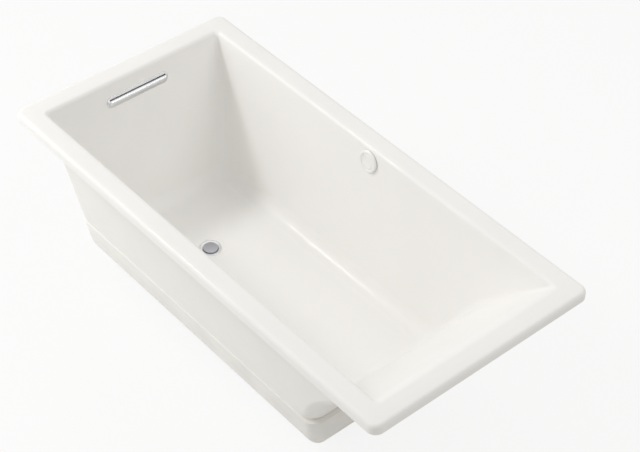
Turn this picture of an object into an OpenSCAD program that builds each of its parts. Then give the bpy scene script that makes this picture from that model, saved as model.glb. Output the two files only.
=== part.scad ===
// Drop-in acrylic bath with a moulded base, waste and overflow, push button and warmed backrest.
// X runs from the waste end (minus) to the backrest end (plus), Y to the button side, Z up.
// The origin is on the floor, under the middle of the rim.

/* [Bath] */
// Length over the rim
bath_l = 1676; // [1560:1:1800]
// Width over the rim
bath_w = 813; // [760:1:900]
// Height from the floor to the rim
bath_h = 559; // [520:1:620]
// Height of the inside floor
floor_z = 60; // [58:0.5:72]
// Thickness of the acrylic sheet
skin_t = 4; // [3:0.5:5]
// Thickness of the glass-fibre backing
backing_t = 4; // [2.5:0.5:4.5]
// Glue line between two bonded layers
bond = 0.2; // [0.1:0.05:0.3]

/* [Rim] */
// Flat of the rim along each long side
rim_side = 71.5; // [66:0.5:90]
// Flat of the rim at the waste end
rim_drain = 73; // [72:0.5:100]
// Flat of the rim at the backrest end
rim_back = 71; // [60:0.5:100]
// Corner radius of the rim seen from above
rim_corner_r = 30; // [20:1:60]
// Rounding along the outer edge of the rim
rim_edge_r = 14; // [8:1:16]
// Height of the turned-down lip
lip_h = 32; // [24:1:40]
// Rounding where the rim turns into the well
well_edge_r = 12; // [10:1:18]
// Clearance between the backing's edge and the lip
backing_inset = 15; // [15:1:30]

/* [Well] */
// Slope of the wall at the waste end, run over drop
end_draft = 0.22; // [0.1:0.01:0.25]
// Slope of the long walls, run over drop
side_draft = 0.111; // [0.05:0.001:0.13]
// Slope of the backrest, run over drop
back_slope = 1.0; // [0.8:0.05:1.05]
// Slope of the backrest's foot, run over drop
back_foot_slope = 0.53; // [0.3:0.01:0.6]
// Depth below the rim where the backrest meets its foot
back_drop = 245.8; // [240:0.1:270]
// Depth of the hollow for the hips
hip_depth = 12; // [0:1:20]
// Height of that hollow above the inside floor
hip_rise = 125; // [110:1:160]
// Corner radius of the well at the rim
well_corner_r = 12; // [8:1:40]
// Corner radius of the well at the floor
foot_corner_r = 52; // [48:1:80]
// Rounding between the floor and the walls
foot_r = 45; // [30:1:47]

/* [Base] */
// Height of the base's underside
base_z = 36; // [34:1:38]
// Height of the base's top edge
base_top = 170; // [150:1:190]
// Thickness of the base
base_t = 3; // [2:0.5:4]
// Rounding along the base's bottom edge
base_r = 70; // [50:1:80]
// How far the base's end face stands behind the backrest at the base's top
base_end_reach = 29.4; // [20:0.1:60]
// Corner radius of the base's end face seen from above
base_corner_r = 42; // [20:1:60]
// Width of the channel for the waste
channel_w = 78; // [74:1:100]
// Length of a support pad
pad_l = 100; // [60:5:110]
// Width of a support pad
pad_w = 80; // [50:5:90]
// Support pads in each row
pad_count = 4; // [3:1:5]
// Distance of each row of pads from the middle
pad_y = 140; // [110:5:150]

/* [Rim rails] */
// Width of a rail
rail_w = 38; // [30:1:40]
// Height of a rail
rail_h = 48; // [40:1:55]
// Distance from the rim's outer face to the rail
rail_inset = 21; // [19:0.5:21]
// Distance of the rails from the waste end of the rim
rail_start_inset = 308; // [240:1:440]
// Distance of the rails from the backrest end of the rim
rail_end_inset = 38; // [38:1:100]
// Free length of the far rail at the button
rail_gap = 120; // [100:5:140]

/* [Waste] */
// Distance of the waste from the end of the rim
drain_inset = 453; // [388:1:488]
// Radius of the chrome flange
flange_r = 36.5; // [35:0.5:38]
// Radius of the flange's threaded body
flange_body_r = 23; // [22:0.5:24]
// Radius of the waste's throat
throat_r = 19; // [18:0.5:20]
// Hole through the bath's floor
drain_hole_r = 26; // [25:0.5:28]
// Depth of the recess round the waste
recess_d = 1.5; // [0.5:0.25:2]
// Radius of the recess round the waste
recess_r = 47; // [42:1:55]
// Radius of the stopper's cap
stopper_r = 25; // [23:0.5:26]
// Thickness of the stopper's cap at the edge
stopper_t = 2; // [1.5:0.25:3]
// Crown of the stopper's cap
stopper_crown = 2; // [1:0.5:4]
// Travel of the stopper from closed to open
stopper_travel = 6.5; // [5:0.5:8]
// Radius of the stopper's stem
stem_r = 5; // [4:0.25:6]
// Radius of the guide barrel
guide_r = 8; // [7.5:0.25:9]
// Outer radius of the waste pipes
pipe_r = 19.05; // [16:0.05:19.05]
// Wall of the waste pipes
pipe_t = 1.6; // [1:0.1:2.5]
// Height of the waste pipe's axis
waste_z = 26; // [25:0.5:26]
// Wall of a pipe socket
socket_t = 3; // [2:0.25:3.5]
// Distance of the overflow pipe from the end of the rim
riser_inset = 43; // [40:1:48]
// Length of the outlet beyond the tee
outlet_l = 18; // [10:1:18]

/* [Overflow] */
// Depth of the overflow below the rim
overflow_drop = 66; // [59:1:89]
// Length of the overflow trim
trim_l = 240; // [200:1:260]
// Height of the overflow trim
trim_h = 40; // [36:1:44]
// How far the trim stands into the well
trim_d = 9; // [6:0.5:12]
// Height of the slot in the trim
slot_h = 11; // [8:0.5:13]
// Depth of the overflow's chamber
chamber_d = 22; // [16:1:26]

/* [Push button] */
// Place of the button along the bath
button_x = -7; // [-60:1:60]
// Depth of the button below the rim
button_drop = 50; // [47:1:69]
// Radius of the bezel
bezel_r = 37.5; // [35:0.5:42]
// Height of the bezel
bezel_h = 8; // [6:0.5:10]
// Radius of the button
button_r = 25; // [22:0.5:28]
// Travel of the button
button_travel = 2; // [1:0.25:2.5]
// Hole through the wall for the button
button_hole_r = 24.5; // [23:0.5:26]

/* [Heater] */
// Length of the heating mat along the backrest
mat_l = 200; // [150:5:220]
// Width of the heating mat
mat_w = 400; // [300:5:440]
// Thickness of the heating mat
mat_t = 2.5; // [1.5:0.5:4]
// Where the control box starts along the far rail
unit_x = 130; // [110:5:140]
// Length of the control box
unit_l = 160; // [150:5:170]
// Height of the control box
unit_h = 90; // [80:5:110]
// Depth of the control box
unit_d = 36; // [32:1:38]
// Wall of the control box
unit_t = 3; // [2:0.5:4]
// Bore of the mains cable gland
gland_bore_r = 4.2; // [3:0.1:5]
// Diameter of the leads
lead_d = 6; // [5:0.5:6]

/* [Hidden] */

// Clearance between assembled pieces, radial clearance of a guide, and overlap of a cut
fit = 0.15;
slide_fit = 0.06;
cut = 1;

corner_steps = 8;
fine = [8, 18, 6];
coarse = [5, 12, 3];
height_bias = 1.6;

acrylic = [0.95, 0.95, 0.93];
fibreglass = [0.88, 0.87, 0.80];
timber = [0.78, 0.62, 0.42];
chrome = [0.80, 0.81, 0.83];
brass = [0.80, 0.66, 0.36];
rubber = [0.12, 0.12, 0.12];
pipe_white = [0.90, 0.90, 0.88];
button_white = [0.93, 0.93, 0.92];
steel = [0.62, 0.63, 0.65];
case_grey = [0.55, 0.57, 0.58];
board_green = [0.15, 0.40, 0.22];

// Places that follow the rim's ends and its top
rail_start = rail_start_inset - bath_l / 2;
rail_end = bath_l / 2 - rail_end_inset;
drain_x = drain_inset - bath_l / 2;
riser_x = riser_inset - bath_l / 2;
overflow_z = bath_h - overflow_drop;
button_z = bath_h - button_drop;

// Depths of the layers below the visible surface
backing_in = skin_t + bond;
backing_out = backing_in + backing_t;
base_in = backing_out + bond;
base_out = base_in + base_t;

// Rounding: how far a face is drawn in at height h above a flat it meets with radius r
function ease(h, r) = h >= r ? 0 : r * (1 - sqrt(1 - pow(1 - max(h, 0) / r, 2)));

// The well's visible walls at height z: waste end, backrest end, long side, corner radius
function end_x(z) = -bath_l / 2 + rim_drain + end_draft * (bath_h - z);
function side_y(z) = bath_w / 2 - rim_side - side_draft * (bath_h - z);
function corner_r(z) = well_corner_r
    + (foot_corner_r - well_corner_r) * (bath_h - z) / (bath_h - floor_z);
crease_r = 6;
hip_spread = 45;
function back_upper(z) = bath_l / 2 - rim_back - back_slope * (bath_h - z);
function back_lower(z) = back_upper(bath_h - back_drop)
    - back_foot_slope * (bath_h - back_drop - z);
function hip(z) = hip_depth * exp(-pow((z - floor_z - hip_rise) / hip_spread, 2));
function back_x(z) = (back_upper(z) + back_lower(z)) / 2
    + sqrt(pow((back_upper(z) - back_lower(z)) / 2, 2) + pow(crease_r, 2)) + hip(z);
function back_stretch(z) = sqrt(1 + pow((back_x(z + 1) - back_x(z - 1)) / 2, 2));

// One level of the bath: a rounded rectangle from xa to xb, half as wide as w on each side,
// with corners of radius ra at xa and rb at xb
function outline(xa, xb, w, ra, rb, z) = [
    for (c = [0:3])
        for (i = [0:corner_steps])
            let (
                a = 90 * (c + i / corner_steps),
                r = (c == 0 || c == 3) ? rb : ra,
                cx = (c == 0 || c == 3) ? xb - r : xa + r,
                cy = (c < 2) ? w - r : r - w
            )
            [cx + r * cos(a), cy + r * sin(a), z]
];
function rim_outline(inset, z) =
    let (r = rim_corner_r - inset)
    outline(-bath_l / 2 + inset, bath_l / 2 - inset, bath_w / 2 - inset, r, r, z);

// The surface that lies t behind the visible one, at height z
least_r = 3;
function skin_ring(z, t) =
    let (
        draw = ease(z - (floor_z - t), foot_r + t),
        flare = ease(bath_h - t - z, well_edge_r - t),
        grow = t + flare - draw,
        r = max(corner_r(z) + grow, least_r)
    )
    outline(
        end_x(z) - grow, back_x(z) + t * back_stretch(z) + flare - draw, side_y(z) + grow,
        r, r, z);

// The heights of that surface's levels, from the floor up over the foot, the wall and the edge
function skin_heights(t, steps) = concat(
    [for (i = [0:steps[0]]) floor_z - t + (foot_r + t) * (1 - cos(90 * i / steps[0]))],
    [for (i = [1:steps[1]]) floor_z + foot_r
        + (bath_h - well_edge_r - floor_z - foot_r) * pow(i / steps[1], height_bias)],
    [for (i = [1:steps[2]]) bath_h - t - (well_edge_r - t) * (1 - sin(90 * i / steps[2]))]
);
function skin_up(t, steps) = [for (z = skin_heights(t, steps)) skin_ring(z, t)];
function reversed(list) = [for (i = [len(list) - 1:-1:0]) list[i]];
function skin_down(t, steps) = reversed(skin_up(t, steps));

// A solid through a stack of outlines, which run up outside and down inside
module loft(rings) {
    n = len(rings[0]);
    last = (len(rings) - 1) * n;
    polyhedron(
        points = [for (ring = rings) each ring],
        faces = concat(
            [[for (i = [0:n - 1]) i]],
            [for (j = [0:len(rings) - 2]) for (i = [0:n - 1])
                [j * n + i, (j + 1) * n + i, (j + 1) * n + (i + 1) % n]],
            [for (j = [0:len(rings) - 2]) for (i = [0:n - 1])
                [j * n + i, (j + 1) * n + (i + 1) % n, j * n + (i + 1) % n]],
            [[for (i = [n - 1:-1:0]) last + i]]
        )
    );
}

// A round tube or wire along points, with its rings square to the path
function unit(v) = v / norm(v);
function along(path, i) = unit(path[min(i + 1, len(path) - 1)] - path[max(i - 1, 0)]);
function ring_at(p, t, up, r, sides) =
    let (u = unit(cross(up, t)), v = cross(t, u))
    [for (k = [0:sides - 1]) p + r * (cos(360 * k / sides) * u + sin(360 * k / sides) * v)];
module sweep(path, r, sides, up = [0, 0, 1]) {
    loft([for (i = [0:len(path) - 1]) ring_at(path[i], along(path, i), up, r, sides)]);
}

// A smooth curve through hand-chosen points, with a few steps between each two
function curve_point(a, b, c, d, s) = 0.5 * (2 * b + (c - a) * s
    + (2 * a - 5 * b + 4 * c - d) * s * s + (3 * b - a - 3 * c + d) * s * s * s);
function smooth(points, steps) = concat(
    [for (i = [0:len(points) - 2]) for (k = [0:steps - 1])
        curve_point(points[max(i - 1, 0)], points[i], points[i + 1],
            points[min(i + 2, len(points) - 1)], k / steps)],
    [points[len(points) - 1]]
);

// A coil spring standing on z, as one wire
coil_steps = 8;
wire_sides = 6;
module coil(r, wire_r, z0, z1, turns) {
    steps = turns * coil_steps;
    path = [for (i = [0:steps])
        [r * cos(360 * i / coil_steps), r * sin(360 * i / coil_steps),
            z0 + wire_r + (z1 - z0 - 2 * wire_r) * i / steps]];
    sweep(path, wire_r, wire_sides);
}

// A slot outline, l long and h high, with round ends, drawn across X
module slot(l, h, d) {
    rotate([90, 0, 90])
        linear_extrude(d)
            union() {
                square([l - h, h], center = true);
                for (side = [-1, 1])
                    translate([side * (l - h) / 2, 0])
                        circle(d = h);
            }
}

// A pipe or a bore of radius r along X
module pipe_x(r, x0, x1) {
    translate([x0, 0, 0])
        rotate([0, 90, 0])
            cylinder(r = r, h = x1 - x0);
}

$fn = 64;

// Places: on the wall behind the overflow, on the wall behind the button, at the waste
module at_overflow() {
    translate([end_x(overflow_z), 0, overflow_z])
        rotate([0, -atan(end_draft), 0])
            children();
}
module at_button() {
    translate([button_x, side_y(button_z), button_z])
        rotate([90 - atan(side_draft), 0, 0])
            children();
}
module at_drain() {
    translate([drain_x, 0, 0])
        children();
}

// Cuts that more than one layer shares
trim_border = 8;
trim_neck = trim_h - 2 * trim_border;
neck_l = trim_l - 2 * trim_border;
wall_reach = 2 * (backing_out + cut);
module overflow_cut() {
    at_overflow()
        translate([-wall_reach / 2 - backing_out / 2, 0, 0])
            slot(neck_l + 2 * fit, trim_neck + 2 * fit, wall_reach);
}
module button_cut() {
    at_button()
        translate([0, 0, -backing_out - 2 * cut])
            cylinder(r = button_hole_r, h = backing_out + 4 * cut);
}
module drain_cut() {
    at_drain()
        translate([0, 0, floor_z - backing_out - cut])
            cylinder(r = drain_hole_r, h = backing_out + 2 * cut);
}

// The bath itself
module basin() {
    lip_steps = 6;
    top = bath_h;
    under = bath_h - skin_t;
    color(acrylic)
    difference() {
        loft(concat(
            skin_up(skin_t, coarse),
            [for (i = [0:lip_steps / 2]) let (a = 180 * i / lip_steps)
                rim_outline(skin_t + (rim_edge_r - skin_t) * (1 - sin(a)),
                    under - (rim_edge_r - skin_t) * (1 - cos(a)))],
            [rim_outline(skin_t, top - lip_h), rim_outline(0, top - lip_h)],
            [for (i = [lip_steps:-1:0]) let (a = 90 * i / lip_steps)
                rim_outline(rim_edge_r * (1 - sin(a)), top - rim_edge_r * (1 - cos(a)))],
            skin_down(0, fine)
        ));
        drain_cut();
        at_drain()
            translate([0, 0, floor_z - recess_d])
                cylinder(r = recess_r, h = recess_d + cut);
        overflow_cut();
        button_cut();
    }
}

module backing_shell() {
    color(fibreglass)
    difference() {
        loft(concat(
            skin_up(backing_out, coarse),
            [rim_outline(backing_inset, bath_h - backing_out)],
            [rim_outline(backing_inset, bath_h - backing_in)],
            skin_down(backing_in, coarse)
        ));
        drain_cut();
        overflow_cut();
        button_cut();
    }
}

// The base is a tray that follows the walls, with an upright end under the backrest
base_end_x = back_x(base_top) + base_end_reach;
ledge_gap = 1.6;
ledge_lip = 0.1;
tray_r = min(base_r, floor_z + foot_r - base_z);
function tray_ring(z, t, bottom, r) =
    let (draw = ease(z - bottom, r), grow = t - draw)
    outline(end_x(z) - grow, base_end_x - base_out + t - draw, side_y(z) + grow,
        max(corner_r(z) + grow, least_r), max(base_corner_r - base_out + grow, least_r), z);
function ledge_ring(z) =
    let (grow = base_in - ledge_lip, r = corner_r(z) + grow)
    outline(end_x(z) - grow, back_x(z) + backing_out * back_stretch(z) + ledge_gap,
        side_y(z) + grow, r, r, z);
function tray_heights(bottom, r, top) = concat(
    [for (i = [0:coarse[0] + 1]) bottom + r * (1 - cos(90 * i / (coarse[0] + 1)))], [top]);
module channel_cut() {
    translate([-bath_l / 2, -channel_w / 2, -cut])
        cube([bath_l / 2 + drain_x + channel_w / 2, channel_w, floor_z - backing_out + cut]);
}
module base_cradle() {
    color(fibreglass)
    difference() {
        loft(concat(
            [for (z = tray_heights(base_z, tray_r, base_top)) tray_ring(z, base_out, base_z, tray_r)],
            [ledge_ring(base_top), ledge_ring(base_top - base_t)],
            [for (z = reversed(tray_heights(base_z + base_t, tray_r - base_t, base_top - base_t)))
                tray_ring(z, base_in, base_z + base_t, tray_r - base_t)]
        ));
        channel_cut();
    }
}

// The board that carries the floor on the base
board_z0 = base_z + base_t + bond;
board_z1 = floor_z - backing_out - bond;
board_inset = tray_r;
module base_board() {
    board_x0 = end_x(board_z0) - base_in + board_inset;
    board_x1 = base_end_x - base_t - board_inset;
    board_y = side_y(board_z0) + base_in - board_inset;
    color(timber)
    difference() {
        translate([board_x0, -board_y, board_z0])
            cube([board_x1 - board_x0, 2 * board_y, board_z1 - board_z0]);
        channel_cut();
    }
}

// Support pads in two rows, spread evenly over the flat of the base
pad_x0 = end_x(base_z) - base_out + tray_r + pad_l / 2;
pad_x1 = base_end_x - tray_r - pad_l / 2;
module base_pads() {
    color(rubber)
    for (side = [-1, 1], i = [0:pad_count - 1])
        translate([pad_x0 + (pad_x1 - pad_x0) * i / (pad_count - 1) - pad_l / 2,
            side * pad_y - pad_w / 2, 0])
            cube([pad_l, pad_w, base_z - bond]);
}

// Timber rails under the rim
rail_top = bath_h - backing_out - bond;
rail_z = rail_top - rail_h;
rail_y = bath_w / 2 - rail_inset - rail_w;
module rail(x0, x1, side) {
    translate([x0, side > 0 ? rail_y : -rail_y - rail_w, rail_z])
        cube([x1 - x0, rail_w, rail_h]);
}
module rim_rail_near() {
    color(timber)
        rail(rail_start, rail_end, -1);
}
module rim_rail_far() {
    color(timber)
    difference() {
        union() {
            rail(rail_start, button_x - rail_gap / 2, 1);
            rail(button_x + rail_gap / 2, rail_end, 1);
        }
        for (x = screw_xs)
            translate([x, rail_y - cut, rail_screw_z])
                rotate([-90, 0, 0])
                    cylinder(r = screw_r + fit, h = screw_l + cut);
    }
}

// The waste in the floor
flange_t = 3;
seat_z = floor_z - recess_d;
flange_top = seat_z + flange_t;
neck_r = drain_hole_r - 0.5;
neck_z = floor_z - backing_out + 1;
dish_edge_z = seat_z + 1.4;
dish_z = dish_edge_z - 6.5;
dish_lip = 1.5;
flange_bottom = waste_z + 10;
cross_t = 4;
cross_w = 4;
hub_r = 6.5;
thread_r = 4;
web_margin = 1;
module drain_flange() {
    color(chrome)
    at_drain()
        difference() {
            rotate_extrude()
                polygon([
                    [thread_r + fit, flange_bottom], [flange_body_r, flange_bottom],
                    [flange_body_r, neck_z], [neck_r, neck_z], [neck_r, seat_z],
                    [flange_r - 1, seat_z], [flange_r, seat_z + 1],
                    [flange_r - 1.5, flange_top], [flange_r - 3.5, flange_top],
                    [neck_r, dish_edge_z], [throat_r + dish_lip, dish_z], [throat_r, dish_z - 2],
                    [throat_r, flange_bottom + cross_t], [thread_r + fit, flange_bottom + cross_t]
                ]);
            for (a = [45:90:315])
                rotate([0, 0, a])
                    translate([0, 0, flange_bottom - cut])
                        difference() {
                            intersection() {
                                cylinder(r = throat_r - web_margin, h = cross_t + 2 * cut);
                                translate([cross_w / 2, cross_w / 2, 0])
                                    cube([throat_r, throat_r, cross_t + 2 * cut]);
                            }
                            cylinder(r = hub_r, h = cross_t + 2 * cut);
                        }
        }
}

gasket_t = 3;
gasket_z = floor_z - backing_out - fit - gasket_t;
shoe_r = 33;
module drain_gasket() {
    color(rubber)
    at_drain()
        translate([0, 0, gasket_z])
            difference() {
                cylinder(r = shoe_r, h = gasket_t);
                translate([0, 0, -cut])
                    cylinder(r = flange_body_r + fit, h = gasket_t + 2 * cut);
            }
}

// The elbow under the floor: a threaded collar, a chamber and a socket towards the waste end
shoe_top = gasket_z - fit;
shoe_flange_t = 4;
shoe_wall = 4;
shoe_body_r = flange_body_r + shoe_wall;
shoe_floor = waste_z - pipe_r - 3;
socket_r = pipe_r + fit + socket_t;
socket_x = drain_x - shoe_body_r;
socket_l = 28;
passage_r = pipe_r - pipe_t - 1;
module drain_shoe() {
    color(brass)
    difference() {
        union() {
            at_drain()
                union() {
                    translate([0, 0, shoe_floor])
                        cylinder(r = shoe_body_r, h = shoe_top - shoe_floor);
                    translate([0, 0, shoe_top - shoe_flange_t])
                        cylinder(r = shoe_r, h = shoe_flange_t);
                }
            translate([0, 0, waste_z])
                pipe_x(socket_r, socket_x - socket_l, drain_x);
        }
        at_drain()
            union() {
                translate([0, 0, flange_bottom - fit])
                    cylinder(r = flange_body_r + fit, h = shoe_top);
                translate([0, 0, shoe_floor + shoe_wall])
                    cylinder(r = flange_body_r - 1, h = shoe_top);
            }
        translate([0, 0, waste_z])
            union() {
                pipe_x(pipe_r + fit, socket_x - socket_l - cut, socket_x - shoe_wall);
                pipe_x(passage_r, socket_x - shoe_wall - cut, drain_x);
            }
    }
}

// Pipes from the waste and the overflow to the tee
tee_reach = 46;
pipe_stop = 22;
module tube_x(x0, x1) {
    translate([0, 0, waste_z])
        difference() {
            pipe_x(pipe_r, x0, x1);
            pipe_x(pipe_r - pipe_t, x0 - cut, x1 + cut);
        }
}
module waste_pipe() {
    color(pipe_white)
        tube_x(riser_x + pipe_stop, socket_x - shoe_wall - fit);
}
tee_out = 24;
outlet_stop = 14;
spigot_step = 0.25;
module outlet_pipe() {
    color(pipe_white)
    translate([0, 0, waste_z])
        difference() {
            union() {
                pipe_x(pipe_r, riser_x - tee_out - outlet_l, riser_x - tee_out - fit);
                pipe_x(pipe_r - spigot_step, riser_x - tee_out - outlet_l, riser_x - outlet_stop);
            }
            pipe_x(pipe_r - pipe_t, riser_x - tee_out - outlet_l - cut, riser_x);
        }
}
riser_drop = 28;
riser_top = overflow_z - riser_drop;
module overflow_pipe() {
    color(pipe_white)
    translate([riser_x, 0, waste_z + pipe_stop])
        difference() {
            cylinder(r = pipe_r, h = riser_top - waste_z - pipe_stop);
            translate([0, 0, -cut])
                cylinder(r = pipe_r - pipe_t, h = riser_top);
        }
}
module waste_tee() {
    color(pipe_white)
    difference() {
        union() {
            translate([0, 0, waste_z])
                pipe_x(socket_r, riser_x - tee_out, riser_x + tee_reach);
            translate([riser_x, 0, waste_z])
                cylinder(r = socket_r, h = tee_reach);
        }
        translate([0, 0, waste_z])
            union() {
                pipe_x(pipe_r + fit, riser_x + pipe_stop - fit, riser_x + tee_reach + cut);
                pipe_x(pipe_r + fit, riser_x - tee_out - cut, riser_x - outlet_stop + fit);
                pipe_x(passage_r, riser_x - tee_out, riser_x + tee_reach);
            }
        translate([riser_x, 0, waste_z])
            cylinder(r = passage_r, h = tee_reach);
        translate([riser_x, 0, waste_z + pipe_stop - fit])
            cylinder(r = pipe_r + fit, h = tee_reach);
    }
}

// A slip nut at the tee's end, along Z from the end's face, with its washer
nut_grip = 12;
nut_lip = 4;
nut_wall = 2.4;
washer_t = 3;
nut_lugs = 8;
lug_w = 6;
lug_h = 1.2;
module slip_nut() {
    nut_r = socket_r + fit + nut_wall;
    difference() {
        union() {
            translate([0, 0, -nut_grip])
                cylinder(r = nut_r, h = nut_grip + washer_t + fit + nut_lip);
            for (i = [0:nut_lugs - 1])
                rotate([0, 0, 360 * (i + 0.5) / nut_lugs])
                    translate([nut_r - lug_h, -lug_w / 2, -nut_grip])
                        cube([2 * lug_h, lug_w, nut_grip + washer_t]);
        }
        translate([0, 0, -nut_grip - cut])
            cylinder(r = socket_r + fit, h = nut_grip + washer_t + 2 * fit + cut);
        cylinder(r = pipe_r + fit, h = 2 * nut_grip);
    }
}
module slip_washer() {
    translate([0, 0, fit])
        difference() {
            cylinder(r = socket_r, h = washer_t);
            translate([0, 0, -cut])
                cylinder(r = pipe_r + fit, h = washer_t + 2 * cut);
        }
}
module at_tee_ends() {
    translate([riser_x + tee_reach, 0, waste_z])
        rotate([0, 90, 0])
            children();
    translate([riser_x, 0, waste_z + tee_reach])
        children();
}
module slip_nuts() {
    color(pipe_white)
        at_tee_ends()
            slip_nut();
}
module slip_washers() {
    color(rubber)
        at_tee_ends()
            slip_washer();
}

// The stopper, drawn closed, with its cap and stem on a guide barrel screwed into the cross
seal_t = 3;
seal_gap = 0.3;
cap_z = dish_edge_z + 1;
seal_z = cap_z - seal_t;
dish_slope = (neck_r - throat_r - dish_lip) / (dish_edge_z - dish_z);
seal_r = neck_r - (dish_edge_z - seal_z) * dish_slope - seal_gap;
guide_top = seal_z - 1;
guide_floor = flange_bottom + cross_t + 2;
stem_bottom = guide_floor + 4.5;
spring_turns = 2;
module stopper_cap() {
    crown_r = (pow(stopper_r, 2) + pow(stopper_crown, 2)) / (2 * stopper_crown);
    color(steel)
    at_drain()
        union() {
            intersection() {
                translate([0, 0, cap_z])
                    cylinder(r = stopper_r, h = stopper_t + stopper_crown);
                translate([0, 0, cap_z + stopper_t + stopper_crown - crown_r])
                    sphere(r = crown_r, $fn = 256);
            }
            translate([0, 0, stem_bottom])
                cylinder(r = stem_r, h = cap_z - stem_bottom + cut);
        }
}
module stopper_seal() {
    color(rubber)
    at_drain()
        translate([0, 0, seal_z])
            difference() {
                cylinder(r1 = min(seal_r, stopper_r - 0.5), r2 = stopper_r - 0.5, h = seal_t);
                translate([0, 0, -cut])
                    cylinder(r = stem_r, h = seal_t + 2 * cut);
            }
}
module stopper_guide() {
    color(brass)
    at_drain()
        difference() {
            union() {
                translate([0, 0, flange_bottom + cross_t + fit])
                    cylinder(r = guide_r, h = guide_top - flange_bottom - cross_t - fit);
                translate([0, 0, flange_bottom])
                    cylinder(r = thread_r, h = cross_t + 1);
            }
            translate([0, 0, guide_floor])
                cylinder(r = stem_r + slide_fit, h = guide_top);
        }
}
spring_wire_r = 0.6;
module stopper_spring() {
    color(steel)
    at_drain()
        coil(stem_r - 2 * spring_wire_r, spring_wire_r, guide_floor + fit, stem_bottom - fit, spring_turns);
}

// The overflow, drawn along the wall: minus X is behind it
lip_face = 0.1;
wall_back = -backing_out * cos(atan(end_draft));
overflow_gasket_t = 3;
chamber_x1 = wall_back - overflow_gasket_t - 2 * fit;
chamber_x0 = chamber_x1 - chamber_d;
chamber_wall = 3.5;
chamber_rim = 3;
chamber_l = trim_l + chamber_rim;
chamber_h = trim_h + 2 * chamber_rim;
trim_wall = 2.5;
trim_step = 2;
slot_z = 6.5;
scoop_z = -6;
scoop_h = 18;
module overflow_trim() {
    color(chrome)
    at_overflow()
        difference() {
            union() {
                for (k = [1, 2])
                    translate([lip_face, 0, 0])
                        slot(trim_l - 2 * (k - 1) * trim_step, trim_h - 2 * (k - 1) * trim_step,
                            k * trim_step);
                for (k = [0, 1])
                    translate([lip_face, 0, scoop_z])
                        slot(neck_l - 2 * k * trim_step, scoop_h - 2 * k * trim_step,
                            trim_d - (1 - k) * trim_step);
                translate([chamber_x1 + fit, 0, 0])
                    slot(neck_l, trim_neck, lip_face - chamber_x1);
            }
            translate([-2 * trim_step, 0, slot_z])
                slot(neck_l - trim_step, slot_h, trim_d + 3 * trim_step);
            translate([chamber_x1, 0, 0])
                slot(neck_l - 2 * trim_wall, trim_neck - 2 * trim_wall, -chamber_x1 - trim_step);
        }
}
module overflow_gasket() {
    color(rubber)
    at_overflow()
        translate([wall_back - fit - overflow_gasket_t, 0, 0])
            difference() {
                slot(chamber_l, chamber_h, overflow_gasket_t);
                translate([-cut, 0, 0])
                    slot(neck_l + 2 * fit, trim_neck + 2 * fit, overflow_gasket_t + 2 * cut);
            }
}
duct_drop = 16;
duct_h = 20;
duct_back = 5;
duct_l = end_x(overflow_z) - backing_out - chamber_d / 2 - duct_back - riser_x;
stub_rise = 10;
stub_grip = 26;
stub_top = overflow_z + stub_rise;
stub_bottom = riser_top - stub_grip;
screw_margin = 30;
screw_pitch = trim_l - 2 * screw_margin;
screw_r = 2.1;
screw_head_r = 4;
screw_head_l = 8;
screw_bite = 6;
module overflow_housing() {
    color(pipe_white)
    difference() {
        union() {
            at_overflow()
                translate([chamber_x0, 0, 0])
                    slot(chamber_l, chamber_h, chamber_d);
            translate([riser_x, 0, stub_bottom])
                cylinder(r = socket_r, h = stub_top - stub_bottom);
            translate([riser_x, -socket_r, overflow_z - duct_drop - chamber_wall])
                cube([duct_l, 2 * socket_r, duct_h + 2 * chamber_wall]);
        }
        at_overflow()
            translate([chamber_x0 + chamber_wall, 0, 0])
                slot(neck_l - chamber_wall, chamber_h - 2 * chamber_wall, chamber_d);
        translate([riser_x, 0, stub_bottom - cut])
            cylinder(r = pipe_r + fit, h = riser_top + fit - stub_bottom + cut);
        translate([riser_x, 0, stub_bottom])
            cylinder(r = passage_r, h = stub_top - stub_bottom - chamber_wall);
        translate([riser_x, -passage_r, overflow_z - duct_drop])
            cube([duct_l, 2 * passage_r, duct_h]);
        for (side = [-1, 1])
            at_overflow()
                translate([chamber_x0 - cut, side * screw_pitch / 2, 0])
                    rotate([0, 90, 0])
                        cylinder(r = screw_r + fit, h = chamber_wall + 2 * cut);
    }
}
module overflow_screws() {
    color(steel)
    for (side = [-1, 1])
        at_overflow()
            translate([chamber_x0 - screw_head_l, side * screw_pitch / 2, 0])
                rotate([0, 90, 0])
                    union() {
                        cylinder(r = screw_r, h = chamber_d + screw_bite);
                        cylinder(r = screw_head_r, h = screw_head_l - fit);
                    }
}

// The push button, drawn along its own axis: plus Z is into the well
button_gasket_t = 1.4;
bezel_z = button_gasket_t + fit;
recess_z = bezel_z + 2;
button_gap = 0.2;
button_t = 2;
button_z0 = recess_z + button_travel + button_gap;
button_dish = 1.2;
barrel_r = button_hole_r - 0.5;
barrel_wall = 3;
barrel_l = 20;
bezel_bevel = 3;
web_z = -9;
web_t = 4;
plunger_r = 8;
plunger_end = -15;
can_l = 24;
can_z = -barrel_l - can_l;
can_wall = 3;
module control_bezel() {
    color(button_white)
    at_button()
        difference() {
            union() {
                translate([0, 0, bezel_z])
                    cylinder(r = bezel_r, h = bezel_h - bezel_bevel);
                translate([0, 0, bezel_z + bezel_h - bezel_bevel])
                    cylinder(r1 = bezel_r, r2 = bezel_r - bezel_bevel, h = bezel_bevel);
                translate([0, 0, -barrel_l])
                    cylinder(r = barrel_r, h = barrel_l + bezel_z + cut);
            }
            translate([0, 0, recess_z])
                cylinder(r = button_r + fit, h = bezel_h);
            translate([0, 0, recess_z + button_t])
                cylinder(r1 = button_r + fit, r2 = button_r + bezel_bevel, h = bezel_h);
            translate([0, 0, -barrel_l - cut])
                cylinder(r = barrel_r - barrel_wall, h = barrel_l + bezel_h);
        }
}
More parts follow.
